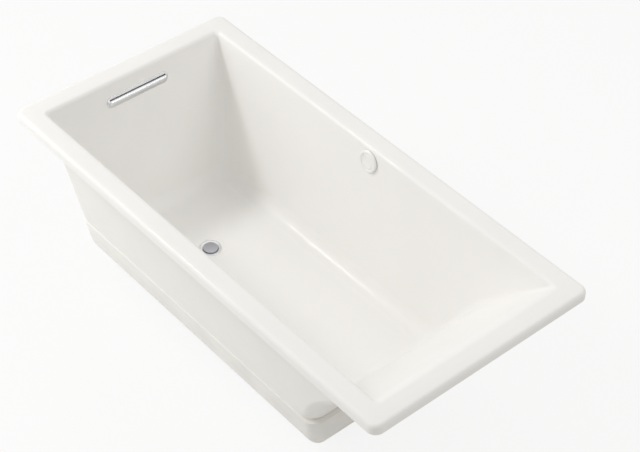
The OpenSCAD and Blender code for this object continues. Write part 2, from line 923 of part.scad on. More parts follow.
module control_button() {
    dish_r = (pow(button_r - button_t, 2) + pow(button_dish, 2)) / (2 * button_dish);
    color(button_white)
    at_button()
        difference() {
            union() {
                translate([0, 0, button_z0])
                    cylinder(r = button_r - button_gap, h = button_t);
                translate([0, 0, plunger_end])
                    cylinder(r = plunger_r, h = button_z0 - plunger_end + cut);
            }
            translate([0, 0, button_z0 + button_t - button_dish + dish_r])
                sphere(r = dish_r, $fn = 128);
        }
}
module control_gasket() {
    color(rubber)
    at_button()
        translate([0, 0, fit / 2])
            difference() {
                cylinder(r = bezel_r - 1.5, h = button_gasket_t);
                translate([0, 0, -cut])
                    cylinder(r = barrel_r + fit, h = button_gasket_t + 2 * cut);
            }
}
button_back = -backing_out * cos(atan(side_draft));
nut_h = 9;
nut_rim = 8;
module control_nut() {
    color(button_white)
    at_button()
        translate([0, 0, button_back - fit - nut_h])
            difference() {
                union() {
                    cylinder(r = barrel_r + nut_rim, h = nut_h);
                    for (i = [0:nut_lugs - 1])
                        rotate([0, 0, 360 * i / nut_lugs])
                            translate([barrel_r + nut_rim - lug_h, -lug_w / 2, 0])
                                cube([3 * lug_h, lug_w, nut_h]);
                }
                translate([0, 0, -cut])
                    cylinder(r = barrel_r + fit, h = nut_h + 2 * cut);
            }
}
module control_housing() {
    inner_r = barrel_r - barrel_wall - fit;
    color(case_grey)
    at_button()
        difference() {
            union() {
                translate([0, 0, can_z])
                    cylinder(r = barrel_r - 0.5, h = can_l - fit);
                translate([0, 0, can_z])
                    cylinder(r = inner_r, h = web_z - can_z);
            }
            translate([0, 0, can_z + can_wall])
                cylinder(r = inner_r - can_wall, h = web_z - web_t - can_z - can_wall);
            translate([0, 0, web_z - web_t - cut])
                cylinder(r = plunger_r + slide_fit, h = web_t + 2 * cut);
        }
}
module control_spring() {
    color(steel)
    at_button()
        coil(plunger_r + 4 * spring_wire_r, spring_wire_r, web_z + fit, button_z0 - fit, 4);
}
switch_r = 9;
switch_tip_r = 3;
switch_tip = 3;
switch_l = plunger_end - button_travel - can_z - can_wall - 1;
module control_switch() {
    color(rubber)
    at_button()
        translate([0, 0, can_z + can_wall + fit])
            union() {
                cylinder(r = switch_r, h = switch_l - switch_tip);
                cylinder(r = switch_tip_r, h = switch_l);
            }
}

// The heating mat on the back of the backrest, drawn along it: plus Z is away from the bather
mat_drop = 107;
mat_z = bath_h - mat_drop;
module at_backrest() {
    translate([back_upper(mat_z), 0, mat_z])
        rotate([0, 90 + atan(back_slope), 0])
            translate([0, 0, backing_out + bond])
                children();
}
mat_gap = 0.9;
terminal_w = 40;
terminal_l = 30;
terminal_t = 14;
terminal_side = 50;
terminal_y = mat_w / 2 - terminal_side;
terminal_inset = 8;
module heater_mat() {
    color(rubber)
    at_backrest()
        translate([-mat_l / 2, -mat_w / 2, mat_gap])
            cube([mat_l, mat_w, mat_t]);
}
module heater_terminal() {
    color(case_grey)
    at_backrest()
        translate([terminal_inset - mat_l / 2, terminal_y - terminal_w / 2, mat_gap + mat_t + fit])
            cube([terminal_l, terminal_w, terminal_t]);
}

// The control box under the far rail, on a plate that is screwed to the rail
unit_gap = 3;
unit_z1 = rail_z - unit_gap;
unit_z0 = unit_z1 - unit_h;
unit_y = rail_y;
plate_t = 2.5;
plate_lap = 45;
cover_t = 2;
screw_l = 20;
screw_head_h = 3;
screw_inset = 25;
screw_drop = 20;
screw_rise = 25;
screw_xs = [unit_x + screw_inset, unit_x + unit_l - screw_inset];
rail_screw_z = rail_z + screw_rise;
case_screw_z = unit_z1 - screw_drop;
board_gap = 5;
module unit_bracket() {
    color(steel)
    difference() {
        translate([unit_x, unit_y - bond - plate_t, unit_z0 + screw_drop])
            cube([unit_l, plate_t, rail_z + plate_lap - unit_z0 - screw_drop]);
        for (x = screw_xs, z = [rail_screw_z, case_screw_z])
            translate([x, unit_y - bond - plate_t - cut, z])
                rotate([-90, 0, 0])
                    cylinder(r = screw_r + fit, h = plate_t + 2 * cut);
    }
}
module unit_screws() {
    color(steel)
    for (x = screw_xs, z = [rail_screw_z, case_screw_z])
        translate([x, unit_y - bond - plate_t - screw_head_h - fit, z])
            rotate([-90, 0, 0])
                union() {
                    cylinder(r = screw_head_r, h = screw_head_h);
                    cylinder(r = screw_r, h = z > rail_z ? screw_l : plate_t + screw_head_h + unit_t);
                }
}
module unit_case() {
    color(case_grey)
    difference() {
        translate([unit_x, unit_y, unit_z0])
            cube([unit_l, unit_d - cover_t - fit, unit_h]);
        translate([unit_x + unit_t, unit_y + unit_t, unit_z0 + unit_t])
            cube([unit_l - 2 * unit_t, unit_d, unit_h - 2 * unit_t]);
        for (x = screw_xs)
            translate([x, unit_y - cut, case_screw_z])
                rotate([-90, 0, 0])
                    cylinder(r = screw_r + fit, h = unit_t + 2 * cut);
        translate([gland_x, gland_y, unit_z0 - cut])
            cylinder(r = gland_neck_r + fit, h = unit_t + 2 * cut);
    }
}
module unit_cover() {
    color(case_grey)
        translate([unit_x, unit_y + unit_d - cover_t, unit_z0])
            cube([unit_l, cover_t, unit_h]);
}
board_t = 1.6;
relay = [36, 14, 30];
relay_at = [60, 0, 20];
connector = [22, 10, 20];
connector_at = [108, 0, 12];
module unit_board() {
    color(board_green)
    translate([unit_x + unit_t + fit, unit_y + unit_t + board_gap, unit_z0 + unit_t + fit])
        union() {
            cube([unit_l - 2 * unit_t - 2 * fit, board_t, unit_h - 2 * unit_t - 2 * fit]);
            translate(relay_at)
                cube(relay);
            translate(connector_at)
                cube(connector);
        }
}

// The mains inlet: a gland on the underside of the box
gland_x = unit_x + unit_l / 2;
gland_y = unit_y + unit_d / 2;
gland_neck_r = 7;
gland_l = 20;
module mains_gland() {
    color(rubber)
    translate([gland_x, gland_y, unit_z0 - gland_l])
        difference() {
            union() {
                cylinder(r = gland_neck_r + 3, h = gland_l - fit);
                cylinder(r = gland_neck_r, h = gland_l + unit_t);
            }
            translate([0, 0, -cut])
                cylinder(r = gland_bore_r, h = gland_l + unit_t + 2 * cut);
        }
}

// Routes of the two leads, from the button and from the mat to the control box. Their points
// are chosen by hand, as steps from the button, the mat, the rail and the box.
lead_y = rail_y + 20;
lead_z = rail_z - 40.6;
clip_y = rail_y + 12;
clip_z = rail_z - 6.6;
clip_xs = [rail_end - 380, rail_end - 240];
lead_sides = 10;
can_y = side_y(button_z) - can_z;
mat_x = back_upper(mat_z);
unit_end = unit_x + unit_l;
button_route = [
    [button_x, can_y + 0.5, button_z - 5], [button_x, can_y + 8.5, button_z - 6],
    [button_x + 7, can_y + 14.5, button_z - 14], [button_x + 29, can_y + 13, button_z - 31],
    [button_x + 67, lead_y + 3, lead_z + 8], [button_x + 107, lead_y, lead_z],
    [unit_x - 14, lead_y, lead_z], [unit_x - fit, lead_y, lead_z]
];
heater_route = [
    [mat_x + 66, terminal_y + 20.5, mat_z + 38], [mat_x + 66, terminal_y + 60, mat_z + 38],
    [mat_x + 66, rail_y - 100, mat_z + 38], [mat_x + 64, rail_y - 55, mat_z + 37],
    [mat_x + 58, rail_y - 15, clip_z + 2], [mat_x + 30, rail_y + 3, clip_z],
    [mat_x - 30, clip_y, clip_z], [clip_xs[1], clip_y, clip_z],
    [clip_xs[1] - 70, clip_y, clip_z], [clip_xs[0], clip_y, clip_z],
    [clip_xs[0] - 35, clip_y + 1, clip_z - 3], [clip_xs[0] - 70, clip_y + 6, lead_z + 7],
    [unit_end + 32, lead_y, lead_z], [unit_end + 16, lead_y, lead_z], [unit_end + fit, lead_y, lead_z]
];
module button_lead() {
    color(rubber)
        sweep(smooth(button_route, 2), lead_d / 2, lead_sides, [0.2, 0.3, 1]);
}
module heater_lead() {
    color(rubber)
        sweep(smooth(heater_route, 4), lead_d / 2, lead_sides);
}
module lead_clips() {
    clip_l = 10;
    clip_w = 16;
    clip_t = 3;
    clip_low = clip_z - lead_d / 2 - clip_t;
    color(pipe_white)
    for (x = clip_xs)
        difference() {
            translate([x - clip_l / 2, clip_y - clip_w / 2, clip_low])
                cube([clip_l, clip_w, rail_z - bond - clip_low]);
            translate([0, clip_y, clip_z])
                pipe_x(lead_d / 2 + fit, x - clip_l, x + clip_l);
        }
}

basin();
backing_shell();
base_cradle();
base_board();
base_pads();
rim_rail_near();
rim_rail_far();
drain_flange();
drain_gasket();
drain_shoe();
waste_pipe();
waste_tee();
slip_nuts();
slip_washers();
outlet_pipe();
overflow_pipe();
stopper_cap();
stopper_seal();
stopper_guide();
stopper_spring();
overflow_trim();
overflow_housing();
overflow_gasket();
overflow_screws();
control_bezel();
control_button();
control_gasket();
control_nut();
control_housing();
control_spring();
control_switch();
button_lead();
heater_mat();
heater_terminal();
heater_lead();
lead_clips();
unit_case();
unit_cover();
unit_board();
unit_bracket();
unit_screws();
mains_gland();
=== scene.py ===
"""Looks of a drop-in acrylic bath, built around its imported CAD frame.

The frame gives every size and place. This script gives the bath its smooth moulded skins, its
chrome, its button and pipes, and their finishes. Shapes are worked out in millimetres in the CAD
frame (X towards the backrest, Y towards the push button, Z up) and go into the meshes in metres.
"""

from __future__ import annotations

import logging
import math
from abc import ABC, abstractmethod
from dataclasses import dataclass
from enum import Enum
from typing import Any, Mapping, Sequence, Union

import bmesh
import bpy
import numpy as np
from mathutils import Matrix, Vector


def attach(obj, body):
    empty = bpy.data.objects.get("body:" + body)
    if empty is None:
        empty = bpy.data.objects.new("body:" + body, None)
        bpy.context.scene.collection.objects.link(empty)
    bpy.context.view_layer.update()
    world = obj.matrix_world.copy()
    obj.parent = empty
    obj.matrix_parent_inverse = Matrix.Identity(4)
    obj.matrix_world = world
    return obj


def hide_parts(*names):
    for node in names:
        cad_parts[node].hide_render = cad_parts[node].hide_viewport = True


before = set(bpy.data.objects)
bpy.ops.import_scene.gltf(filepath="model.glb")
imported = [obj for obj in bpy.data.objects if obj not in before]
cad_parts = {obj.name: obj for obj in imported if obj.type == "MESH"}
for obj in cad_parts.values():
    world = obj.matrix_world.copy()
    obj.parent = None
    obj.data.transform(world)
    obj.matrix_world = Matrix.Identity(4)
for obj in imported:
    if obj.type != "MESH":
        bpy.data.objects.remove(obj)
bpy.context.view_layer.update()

LOG = logging.getLogger("bath")
MM = 0.001
PHOTO_WIDTH = 640
PHOTO_HEIGHT = 452

Array = np.ndarray
Mesh = bpy.types.Mesh
Object = bpy.types.Object
Point = tuple[float, float, float]
Colour = tuple[float, float, float]
Value = Union[float, Sequence[float], "Socket"]


# Materials


SEEN_RAYS = ("Is Camera Ray", "Is Glossy Ray", "Is Transmission Ray")


class Slot(Enum):
    """The record's material slots."""

    ACRYLIC = "acrylic"
    GLASS_FIBRE = "glass_fibre"
    BASE_MOULDING = "base_moulding"
    TIMBER = "timber"
    FOAM_PAD = "foam_pad"
    CHROME = "chrome"
    BRASS = "brass"
    SEAL_RUBBER = "seal_rubber"
    PIPE_PLASTIC = "pipe_plastic"
    BUTTON_PLASTIC = "button_plastic"
    STEEL = "steel"
    CASE_PLASTIC = "case_plastic"
    CIRCUIT_BOARD = "circuit_board"
    HEATING_FILM = "heating_film"
    LEAD_SHEATH = "lead_sheath"


@dataclass(frozen=True)
class Socket:
    """An output of a material's node. Arithmetic on it adds Math nodes."""

    sheet: NodeSheet
    out: bpy.types.NodeSocket

    def math(self, operation: str, *values: Value) -> Socket:
        """A Math node of that operation on this socket and the values, in order."""
        return self.sheet.math(operation, self, *values)

    def __add__(self, other: Value) -> Socket:
        """This socket plus other."""
        return self.math("ADD", other)

    __radd__ = __add__

    def __sub__(self, other: Value) -> Socket:
        """This socket minus other."""
        return self.math("SUBTRACT", other)

    def __rsub__(self, other: Value) -> Socket:
        """Other minus this socket."""
        return self.sheet.math("SUBTRACT", other, self)

    def __mul__(self, other: Value) -> Socket:
        """This socket times other."""
        return self.math("MULTIPLY", other)

    __rmul__ = __mul__

    def __pow__(self, other: Value) -> Socket:
        """This socket to the power of other."""
        return self.math("POWER", other)

    def clamped(self, low: float, high: float) -> Socket:
        """This socket mapped from low..high to 0..1 in a smooth step."""
        span = {"Value": self, "From Min": low, "From Max": high}
        return self.sheet.node("ShaderNodeMapRange", {"interpolation_type": "SMOOTHSTEP"}, span)


class NodeSheet:
    """The node tree of one material or world."""

    def __init__(self, owner: bpy.types.Material | bpy.types.World) -> None:
        """Empties the owner's tree.

        Args:
            owner: The material or world that has the tree.
        """
        owner.use_nodes = True
        self.tree = owner.node_tree
        self.tree.nodes.clear()

    def feed(self, target: bpy.types.NodeSocket, value: Value) -> None:
        """Links a socket to an input, or sets a number or colour on it.

        Args:
            target: The input.
            value: The socket, number or colour.
        """
        if isinstance(value, Socket):
            self.tree.links.new(value.out, target)
        else:
            target.default_value = value

    def node(
        self,
        kind: str,
        settings: Mapping[str, Any] | None = None,
        inputs: Mapping[Any, Value] | None = None,
        output: str | int = 0,
    ) -> Socket:
        """Adds one node.

        Args:
            kind: The node's type name.
            settings: Its properties, set first.
            inputs: Values or sockets by input name or number.
            output: The output to return.

        Returns:
            That output.
        """
        made = self.tree.nodes.new(kind)
        for name, value in (settings or {}).items():
            setattr(made, name, value)
        for key, value in (inputs or {}).items():
            self.feed(made.inputs[key], value)
        return Socket(self, made.outputs[output])

    def finish(self, kind: str, surface: Socket) -> None:
        """Adds the tree's output node of that kind and links the surface to it."""
        self.feed(self.tree.nodes.new(kind).inputs["Surface"], surface)

    def math(self, operation: str, *values: Value) -> Socket:
        """A Math node of that operation on the values, in order."""
        return self.node("ShaderNodeMath", {"operation": operation}, dict(enumerate(values)))

    @staticmethod
    def highest(first: Socket, second: Socket, third: Socket) -> Socket:
        """The highest of three sockets' values."""
        return first.math("MAXIMUM", second).math("MAXIMUM", third)

    def seen(self) -> Socket:
        """1 for a ray from the camera, or one that metal or glass sends on, and 0 for the rest."""
        rays = self.node("ShaderNodeLightPath").out.node.outputs
        return self.highest(*(Socket(self, rays[kind]) for kind in SEEN_RAYS))

    def place(self) -> Socket:
        """The point's place on the piece, in metres."""
        return self.node("ShaderNodeTexCoord", output="Object")

    def axes(self) -> tuple[Socket, Socket, Socket]:
        """The point's X, Y and Z, in metres."""
        split = self.node("ShaderNodeSeparateXYZ", inputs={"Vector": self.place()})
        return tuple(Socket(self, out) for out in split.out.node.outputs)

    def stretched(self, scale: Point) -> Socket:
        """The point's place with each axis scaled, for a grain that runs one way."""
        return self.node("ShaderNodeMapping", inputs={"Vector": self.place(), "Scale": scale})

    def noise(
        self, scale: float, detail: float = 3.0, rough: float = 0.5, where: Socket | None = None
    ) -> Socket:
        """Cloudy noise from 0 to 1.

        Args:
            scale: Features per metre.
            detail: Finer layers that are added.
            rough: Their strength.
            where: The coordinates, or the point's place.

        Returns:
            The noise.
        """
        inputs = {"Scale": scale, "Detail": detail, "Roughness": rough}
        return self.node("ShaderNodeTexNoise", inputs={"Vector": where or self.place(), **inputs})

    def cells(self, scale: float, feature: str = "F1", metric: str = "EUCLIDEAN") -> Socket:
        """A distance in a Voronoi pattern.

        Args:
            scale: Cells per metre.
            feature: F1 for the nearest cell's distance, F2 for the next one's.
            metric: How a distance is measured.

        Returns:
            The distance.
        """
        settings = {"feature": feature, "distance": metric}
        inputs = {"Vector": self.place(), "Scale": scale}
        return self.node("ShaderNodeTexVoronoi", settings, inputs, "Distance")

    def mix(self, factor: Value, first: Colour | Socket, second: Colour | Socket) -> Socket:
        """A mix of two colours.

        Args:
            factor: 0 for the first and 1 for the second.
            first: The first colour.
            second: The second colour.

        Returns:
            The mixed colour.
        """
        made = self.node("ShaderNodeMix", {"data_type": "RGBA"}).out.node
        colours = [s for s in made.inputs if s.type == "RGBA"]
        self.feed(made.inputs[0], factor)
        for target, value in zip(colours, (first, second)):
            self.feed(target, value if isinstance(value, Socket) else (*value, 1.0))
        return Socket(self, next(s for s in made.outputs if s.type == "RGBA"))


@dataclass(frozen=True)
class Look:
    """What changes over a finish's surface."""

    colour: Socket
    roughness: Socket
    height: Socket


def srgb(*levels: int) -> Colour:
    """A linear colour from screen values from 0 to 255: a line near black, a power above it."""
    shares = (level / 255 for level in levels)
    return tuple(v / 12.92 if v <= 0.04045 else ((v + 0.055) / 1.055) ** 2.4 for v in shares)


def shade(colour: Colour, factor: float) -> Colour:
    """The colour made darker or lighter by a factor."""
    return tuple(min(1.0, c * factor) for c in colour)


@dataclass(frozen=True)
class Finish(ABC):
    """One finish of the bath. A subclass gives its pattern.

    Scales are features per metre. A span is the part of a noise that a change is spread over.
    """

    slot: Slot
    colour: Colour
    roughness: float
    metallic: float = 0.0
    coat: float = 0.0
    coat_roughness: float = 0.05
    ior: float = 1.5
    bump: float = 0.0
    span: tuple[float, float] = (0.3, 0.7)

    @abstractmethod
    def look(self, sheet: NodeSheet) -> Look:
        """The pattern of the finish, made on the sheet."""

    def toned(self, sheet: NodeSheet, factor: Socket, dark: float) -> Socket:
        """The finish's colour where the factor is 1, and that times dark where it is 0."""
        return sheet.mix(factor, shade(self.colour, dark), self.colour)

    def material(self) -> bpy.types.Material:
        """Makes the material when it is first asked for.

        Returns:
            The Blender material.
        """
        name = "finish_" + self.slot.value
        if name in bpy.data.materials:
            return bpy.data.materials[name]
        made = bpy.data.materials.new(name)
        sheet = NodeSheet(made)
        look = self.look(sheet)
        relief = {"Height": look.height, "Strength": 1.0, "Distance": self.bump * MM}
        inputs = {
            "Base Color": look.colour,
            "Roughness": look.roughness,
            "Metallic": self.metallic,
            "IOR": self.ior,
            "Coat Weight": self.coat,
            "Coat Roughness": self.coat_roughness,
            "Normal": sheet.node("ShaderNodeBump", inputs=relief),
        }
        shader = sheet.node("ShaderNodeBsdfPrincipled", inputs=inputs)
        sheet.finish("ShaderNodeOutputMaterial", shader)
        return made


@dataclass(frozen=True)
class Gloss(Finish):
    """Moulded gloss: faint cloudiness, and the long ripple of a pressed sheet."""

    cloud: float = 5.0
    ripple: float = 14.0
    tint: float = 0.985
    swing: float = 0.4

    def look(self, sheet: NodeSheet) -> Look:
        """Two slow noises: one shades the colour, one varies the polish and lifts the surface.

        Args:
            sheet: The material's nodes.

        Returns:
            The pattern.
        """
        cloud, polish = sheet.noise(self.cloud, 2.0), sheet.noise(self.ripple)
        rough = polish * (self.roughness * self.swing) + self.roughness * (1 - self.swing / 2)
        return Look(self.toned(sheet, cloud.clamped(*self.span), self.tint), rough, polish)


@dataclass(frozen=True)
class Strands(Finish):
    """Glass fibre set in resin: short strands that cross, under a thin wash of gelcoat."""

    strands: float = 90.0
    lays: tuple[Point, ...] = ((1.0, 0.16, 1.0), (0.16, 1.0, 0.5), (0.7, 0.7, 0.16))
    strand_span: tuple[float, float] = (0.5, 0.8)
    wash: float = 7.0
    wash_span: tuple[float, float] = (0.35, 0.7)
    tint: float = 0.97

    def look(self, sheet: NodeSheet) -> Look:
        """The highest of three noises, each stretched another way, stands for the strands.

        Args:
            sheet: The material's nodes.

        Returns:
            The pattern.
        """
        ways = (sheet.stretched(lay) for lay in self.lays)
        height = sheet.highest(*(sheet.noise(self.strands, 2.0, 0.6, way) for way in ways))
        wash = sheet.noise(self.wash).clamped(*self.wash_span)
        factor = height.clamped(*self.strand_span) * 0.5 + wash * 0.5
        return Look(self.toned(sheet, factor, self.tint), height * 0.2 + self.roughness, height)


@dataclass(frozen=True)
class Moulded(Finish):
    """Moulded plastic or foam skin: a fine grain, and slow changes of tone."""

    grain: float = 900.0
    tone: float = 9.0
    tint: float = 0.94

    def look(self, sheet: NodeSheet) -> Look:
        """A fine noise for the grain over a slow noise for the tone.

        Args:
            sheet: The material's nodes.

        Returns:
            The pattern.
        """
        grain, tone = sheet.noise(self.grain, 2.0), sheet.noise(self.tone)
        rough = grain * 0.12 + tone * 0.1 + (self.roughness - 0.1)
        return Look(self.toned(sheet, tone.clamped(*self.span), self.tint), rough, grain)


@dataclass(frozen=True)
class Timber(Finish):
    """Planed softwood with the grain along X."""

    rings: float = 55.0
    slant: float = 1.7
    wander: float = 9.0
    pores: float = 420.0
    pore_span: tuple[float, float] = (0.45, 0.7)
    late: float = 0.6

    def look(self, sheet: NodeSheet) -> Look:
        """Growth rings and pores: a sine of Y and Z, bent by noise and squared for the late wood,
        and a fine noise stretched along X.

        Args:
            sheet: The material's nodes.

        Returns:
            The pattern.
        """
        bend = sheet.noise(6.0, where=sheet.stretched((0.06, 1.0, 1.0))) * self.wander
        _, y, z = sheet.axes()
        turns = y * self.rings + z * (self.rings * self.slant) + bend
        late = ((turns * math.tau).math("SINE") * 0.5 + 0.5) ** 2.0
        pores = sheet.noise(self.pores, 3.0, 0.6, sheet.stretched((0.03, 1.0, 1.0)))
        factor = late * 0.6 + pores.clamped(*self.pore_span) * 0.3
        colour = sheet.mix(factor, self.colour, shade(self.colour, self.late))
        return Look(colour, pores * 0.2 + self.roughness, pores + late * 0.3)


@dataclass(frozen=True)
class Polished(Finish):
    """Polished or plated metal: soft smears where it was wiped, and fine hairlines."""

    hairline: float = 700.0
    smear: float = 25.0
    smear_span: tuple[float, float] = (0.3, 0.75)
    rub_span: tuple[float, float] = (0.35, 0.8)
    spread: float = 0.08
    tint: float = 0.95

    def look(self, sheet: NodeSheet) -> Look:
        """Smears vary the polish, and hairlines are a noise stretched along X.

        Args:
            sheet: The material's nodes.

        Returns:
            The pattern.
        """
        smear = sheet.noise(self.smear)
        hairs = sheet.noise(self.hairline, 2.0, 0.6, sheet.stretched((0.08, 1.0, 1.0)))
        rough = smear.clamped(*self.rub_span) * self.spread + hairs * 0.03 + self.roughness
        return Look(self.toned(sheet, smear.clamped(*self.smear_span), self.tint), rough, hairs)


@dataclass(frozen=True)
class Cellular(Finish):
    """Closed-cell foam: small round cells, cut through at the faces."""

    cell: float = 420.0
    hollow_shade_span: tuple[float, float] = (0.1, 0.6)
    # How dark the painted shade in the cell hollows is.
    tint: float = 0.6

    def look(self, sheet: NodeSheet) -> Look:
        """Voronoi cells, with painted shade in their hollows, under a slow noise.

        Args:
            sheet: The material's nodes.

        Returns:
            The pattern.
        """
        cells, tone = sheet.cells(self.cell), sheet.noise(30.0, 2.0)
        # Darkest at the cells' middles, where the bump is lowest: painted shade in the hollows.
        factor = cells.clamped(*self.hollow_shade_span) * 0.7 + tone * 0.3
        return Look(self.toned(sheet, factor, self.tint), tone * 0.1 + self.roughness, cells)


@dataclass(frozen=True)
class Circuit(Finish):
    """A circuit board: solder mask over fine copper tracks."""

    pitch: float = 180.0
    track_span: tuple[float, float] = (0.03, 0.09)
    glint: float = 2.2

    def look(self, sheet: NodeSheet) -> Look:
        """Square cells. Where the nearest two are equally far, a track runs.

        Args:
            sheet: The material's nodes.

        Returns:
            The pattern.
        """
        far, near = (sheet.cells(self.pitch, feature, "CHEBYCHEV") for feature in ("F2", "F1"))
        line = 1.0 - (far - near).clamped(*self.track_span)
        colour = sheet.mix(line, self.colour, shade(self.colour, self.glint))
        return Look(colour, line * -0.1 + self.roughness, line)


@dataclass(frozen=True)
class HeatingFilm(Finish):
    """A laminated heating mat: foil tracks run to and fro under a dark film."""

    foil: Colour = srgb(172, 122, 62)
    pitch: float = 100.0
    foil_span: tuple[float, float] = (0.1, 0.5)

    def look(self, sheet: NodeSheet) -> Look:
        """Stripes across Y stand for the foil, with a slow noise in the laminate.

        Args:
            sheet: The material's nodes.

        Returns:
            The pattern.
        """
        stripe = (sheet.axes()[1] * (self.pitch * math.tau)).math("SINE").clamped(*self.foil_span)
        cloud = sheet.noise(24.0)
        colour = sheet.mix(stripe * 0.8 + cloud * 0.15, self.colour, self.foil)
        return Look(colour, cloud * 0.2 + self.roughness, stripe)


ACRYLIC = Gloss(
    Slot.ACRYLIC, srgb(252, 251, 249), 0.5, coat=0.12, coat_roughness=0.03, ior=1.36, bump=0.01
)
FINISHES: dict[Slot, Finish] = {
    finish.slot: finish
    for finish in (
        ACRYLIC,
        Strands(Slot.GLASS_FIBRE, srgb(251, 250, 247), 0.45, ior=1.4, bump=0.05),
        Moulded(Slot.BASE_MOULDING, srgb(251, 250, 247), 0.7, ior=1.36, bump=0.03),
        Timber(Slot.TIMBER, srgb(214, 178, 128), 0.62, bump=0.12),
        Cellular(Slot.FOAM_PAD, srgb(88, 90, 92), 0.85, bump=0.5),
        Polished(Slot.CHROME, srgb(230, 231, 233), 0.06, 1.0, bump=0.002),
        Polished(Slot.BRASS, srgb(206, 168, 98), 0.22, 1.0, bump=0.01, spread=0.15),
        Moulded(Slot.SEAL_RUBBER, srgb(38, 38, 40), 0.6, bump=0.05, grain=600.0),
        Moulded(Slot.PIPE_PLASTIC, srgb(232, 232, 228), 0.36, bump=0.02, grain=500.0),
        Gloss(Slot.BUTTON_PLASTIC, srgb(250, 250, 247), 0.3, coat=0.15, bump=0.01, cloud=40.0),
        Polished(Slot.STEEL, srgb(186, 187, 193), 0.3, 1.0, bump=0.01, spread=0.12),
        Moulded(Slot.CASE_PLASTIC, srgb(148, 151, 154), 0.5, bump=0.06, grain=1200.0),
        Circuit(Slot.CIRCUIT_BOARD, srgb(24, 92, 54), 0.4, bump=0.05),
        HeatingFilm(Slot.HEATING_FILM, srgb(92, 58, 30), 0.3, bump=0.15),
        Moulded(Slot.LEAD_SHEATH, srgb(58, 60, 62), 0.5, bump=0.04, grain=800.0),
    )
}


# Shapes


@dataclass(frozen=True)
class Place:
    """A local frame: where its origin is and where its axes point, in millimetres."""

    origin: Point
    x_axis: Point = (1.0, 0.0, 0.0)
    y_axis: Point = (0.0, 1.0, 0.0)
    z_axis: Point = (0.0, 0.0, 1.0)

    def put(self, points: Array) -> Array:
        """Carries local points to the CAD frame: the origin plus their share of each axis."""
        return points @ np.array([self.x_axis, self.y_axis, self.z_axis]) + np.array(self.origin)


def ring_faces(levels: int, around: int, closed: bool) -> list[list[int]]:
    """Faces of a grid of rings: a quad joins each two neighbours of one ring to the next ring's.

    Args:
        levels: The number of rings.
        around: The points in a ring.
        closed: Whether the last ring joins the first. Otherwise both get a flat cap.

    Returns:
        The faces, as lists of vertex numbers.
    """
    rows = levels if closed else levels - 1
    level, side = np.meshgrid(np.arange(rows), np.arange(around), indexing="ij")
    above, beside = (level + 1) % levels, (side + 1) % around
    corners = ((level, side), (level, beside), (above, beside), (above, side))
    faces = np.stack([row * around + at for row, at in corners], -1).reshape(-1, 4).tolist()
    if not closed:
        faces.append(list(range(around))[::-1])
        faces.append(list(range((levels - 1) * around, levels * around)))
    return faces


def settle(mesh: Mesh, sharp: float = 35.0, merge: float = 0.002) -> None:
    """Merges a mesh's doubles, turns its faces outwards and shades it smooth between sharp edges.

    Args:
        mesh: The mesh, changed in place.
        sharp: Edges that turn by more degrees than this stay crisp.
        merge: Points closer than this many millimetres become one.
    """
    work = bmesh.new()
    work.from_mesh(mesh)
    bmesh.ops.remove_doubles(work, verts=work.verts[:], dist=merge * MM)
    bmesh.ops.dissolve_degenerate(work, edges=work.edges[:], dist=merge * MM / 2)
    bmesh.ops.recalc_face_normals(work, faces=work.faces[:])
    work.to_mesh(mesh)
    work.free()
    mesh.polygons.foreach_set("use_smooth", np.ones(len(mesh.polygons), bool))
    mesh.set_sharp_from_angle(angle=math.radians(sharp))


def mesh_of(name: str, rings: Array, closed: bool = False, sharp: float = 35.0) -> Mesh:
    """A mesh through rings of points.

    Args:
        name: The mesh's name.
        rings: Points by ring, side and axis, in millimetres.
        closed: Whether the last ring joins the first.
        sharp: Edges that turn by more degrees than this stay crisp.

    Returns:
        The mesh, with doubles merged and faces outwards.
    """
    mesh = bpy.data.meshes.new(name)
    points = (rings.reshape(-1, 3) * MM).tolist()
    mesh.from_pydata(points, [], ring_faces(rings.shape[0], rings.shape[1], closed))
    settle(mesh, sharp)
    return mesh


def place_in_scene(name: str, data: Any) -> Object:
    """Puts a mesh, lamp or camera into the scene.

    Args:
        name: The new object's name.
        data: The mesh, lamp or camera.

    Returns:
        The object.
    """
    made = bpy.data.objects.new(name, data)
    bpy.context.scene.collection.objects.link(made)
    return made


def paint(piece: Object, slot: Slot) -> None:
    """Gives an object a slot's finish in place of its own.

    Args:
        piece: The object.
        slot: The finish.
    """
    piece.data.materials.clear()
    piece.data.materials.append(FINISHES[slot].material())


def add_piece(
    name: str, mesh: Mesh, slot: Slot, body: str = "bath", nodes: Sequence[str] = ()
) -> Object:
    """Puts a finished mesh into the scene as a piece of the bath.

    Args:
        name: The piece's name.
        mesh: Its mesh, already in place.
        slot: Its finish.
        body: The CAD body that it rides on.
        nodes: The CAD nodes that it stands for.

    Returns:
        The object.
    """
    piece = place_in_scene(name, mesh)
    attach(piece, body)
    if nodes:
        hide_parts(*nodes)
    paint(piece, slot)
    LOG.info("%s: %d faces", name, len(mesh.polygons))
    return piece


def dress(slot: Slot, *nodes: str) -> None:
    """Gives a finish to CAD nodes that keep their own shape."""
    for node in nodes:
        paint(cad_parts[node], slot)


def cut(mesh: Mesh, cutters: Sequence[Mesh]) -> Mesh:
    """Takes the cutters' solids away from a mesh.

    Args:
        mesh: The solid to cut.
        cutters: The solids to take away.

    Returns:
        A new mesh.
    """
    base = place_in_scene("cut_base", mesh)
    tools = [place_in_scene("cut_tool", cutter) for cutter in cutters]
    for tool in tools:
        step = base.modifiers.new("cut", "BOOLEAN")
        step.object, step.operation, step.solver = tool, "DIFFERENCE", "EXACT"
    bpy.context.view_layer.update()
    graph = bpy.context.evaluated_depsgraph_get()
    made = bpy.data.meshes.new_from_object(base.evaluated_get(graph))
    for used in [base, *tools]:
        bpy.data.objects.remove(used)
    settle(made)
    return made


# How soften() reads a CAD mesh and shades the result: lengths in millimetres, angles in degrees.
CAD_MERGE = 0.003
FLAT_TURN = 0.5
SHARP_TURN = 40.0
SOFT_MERGE = 0.0005
SOFT_CREASE = 30.0


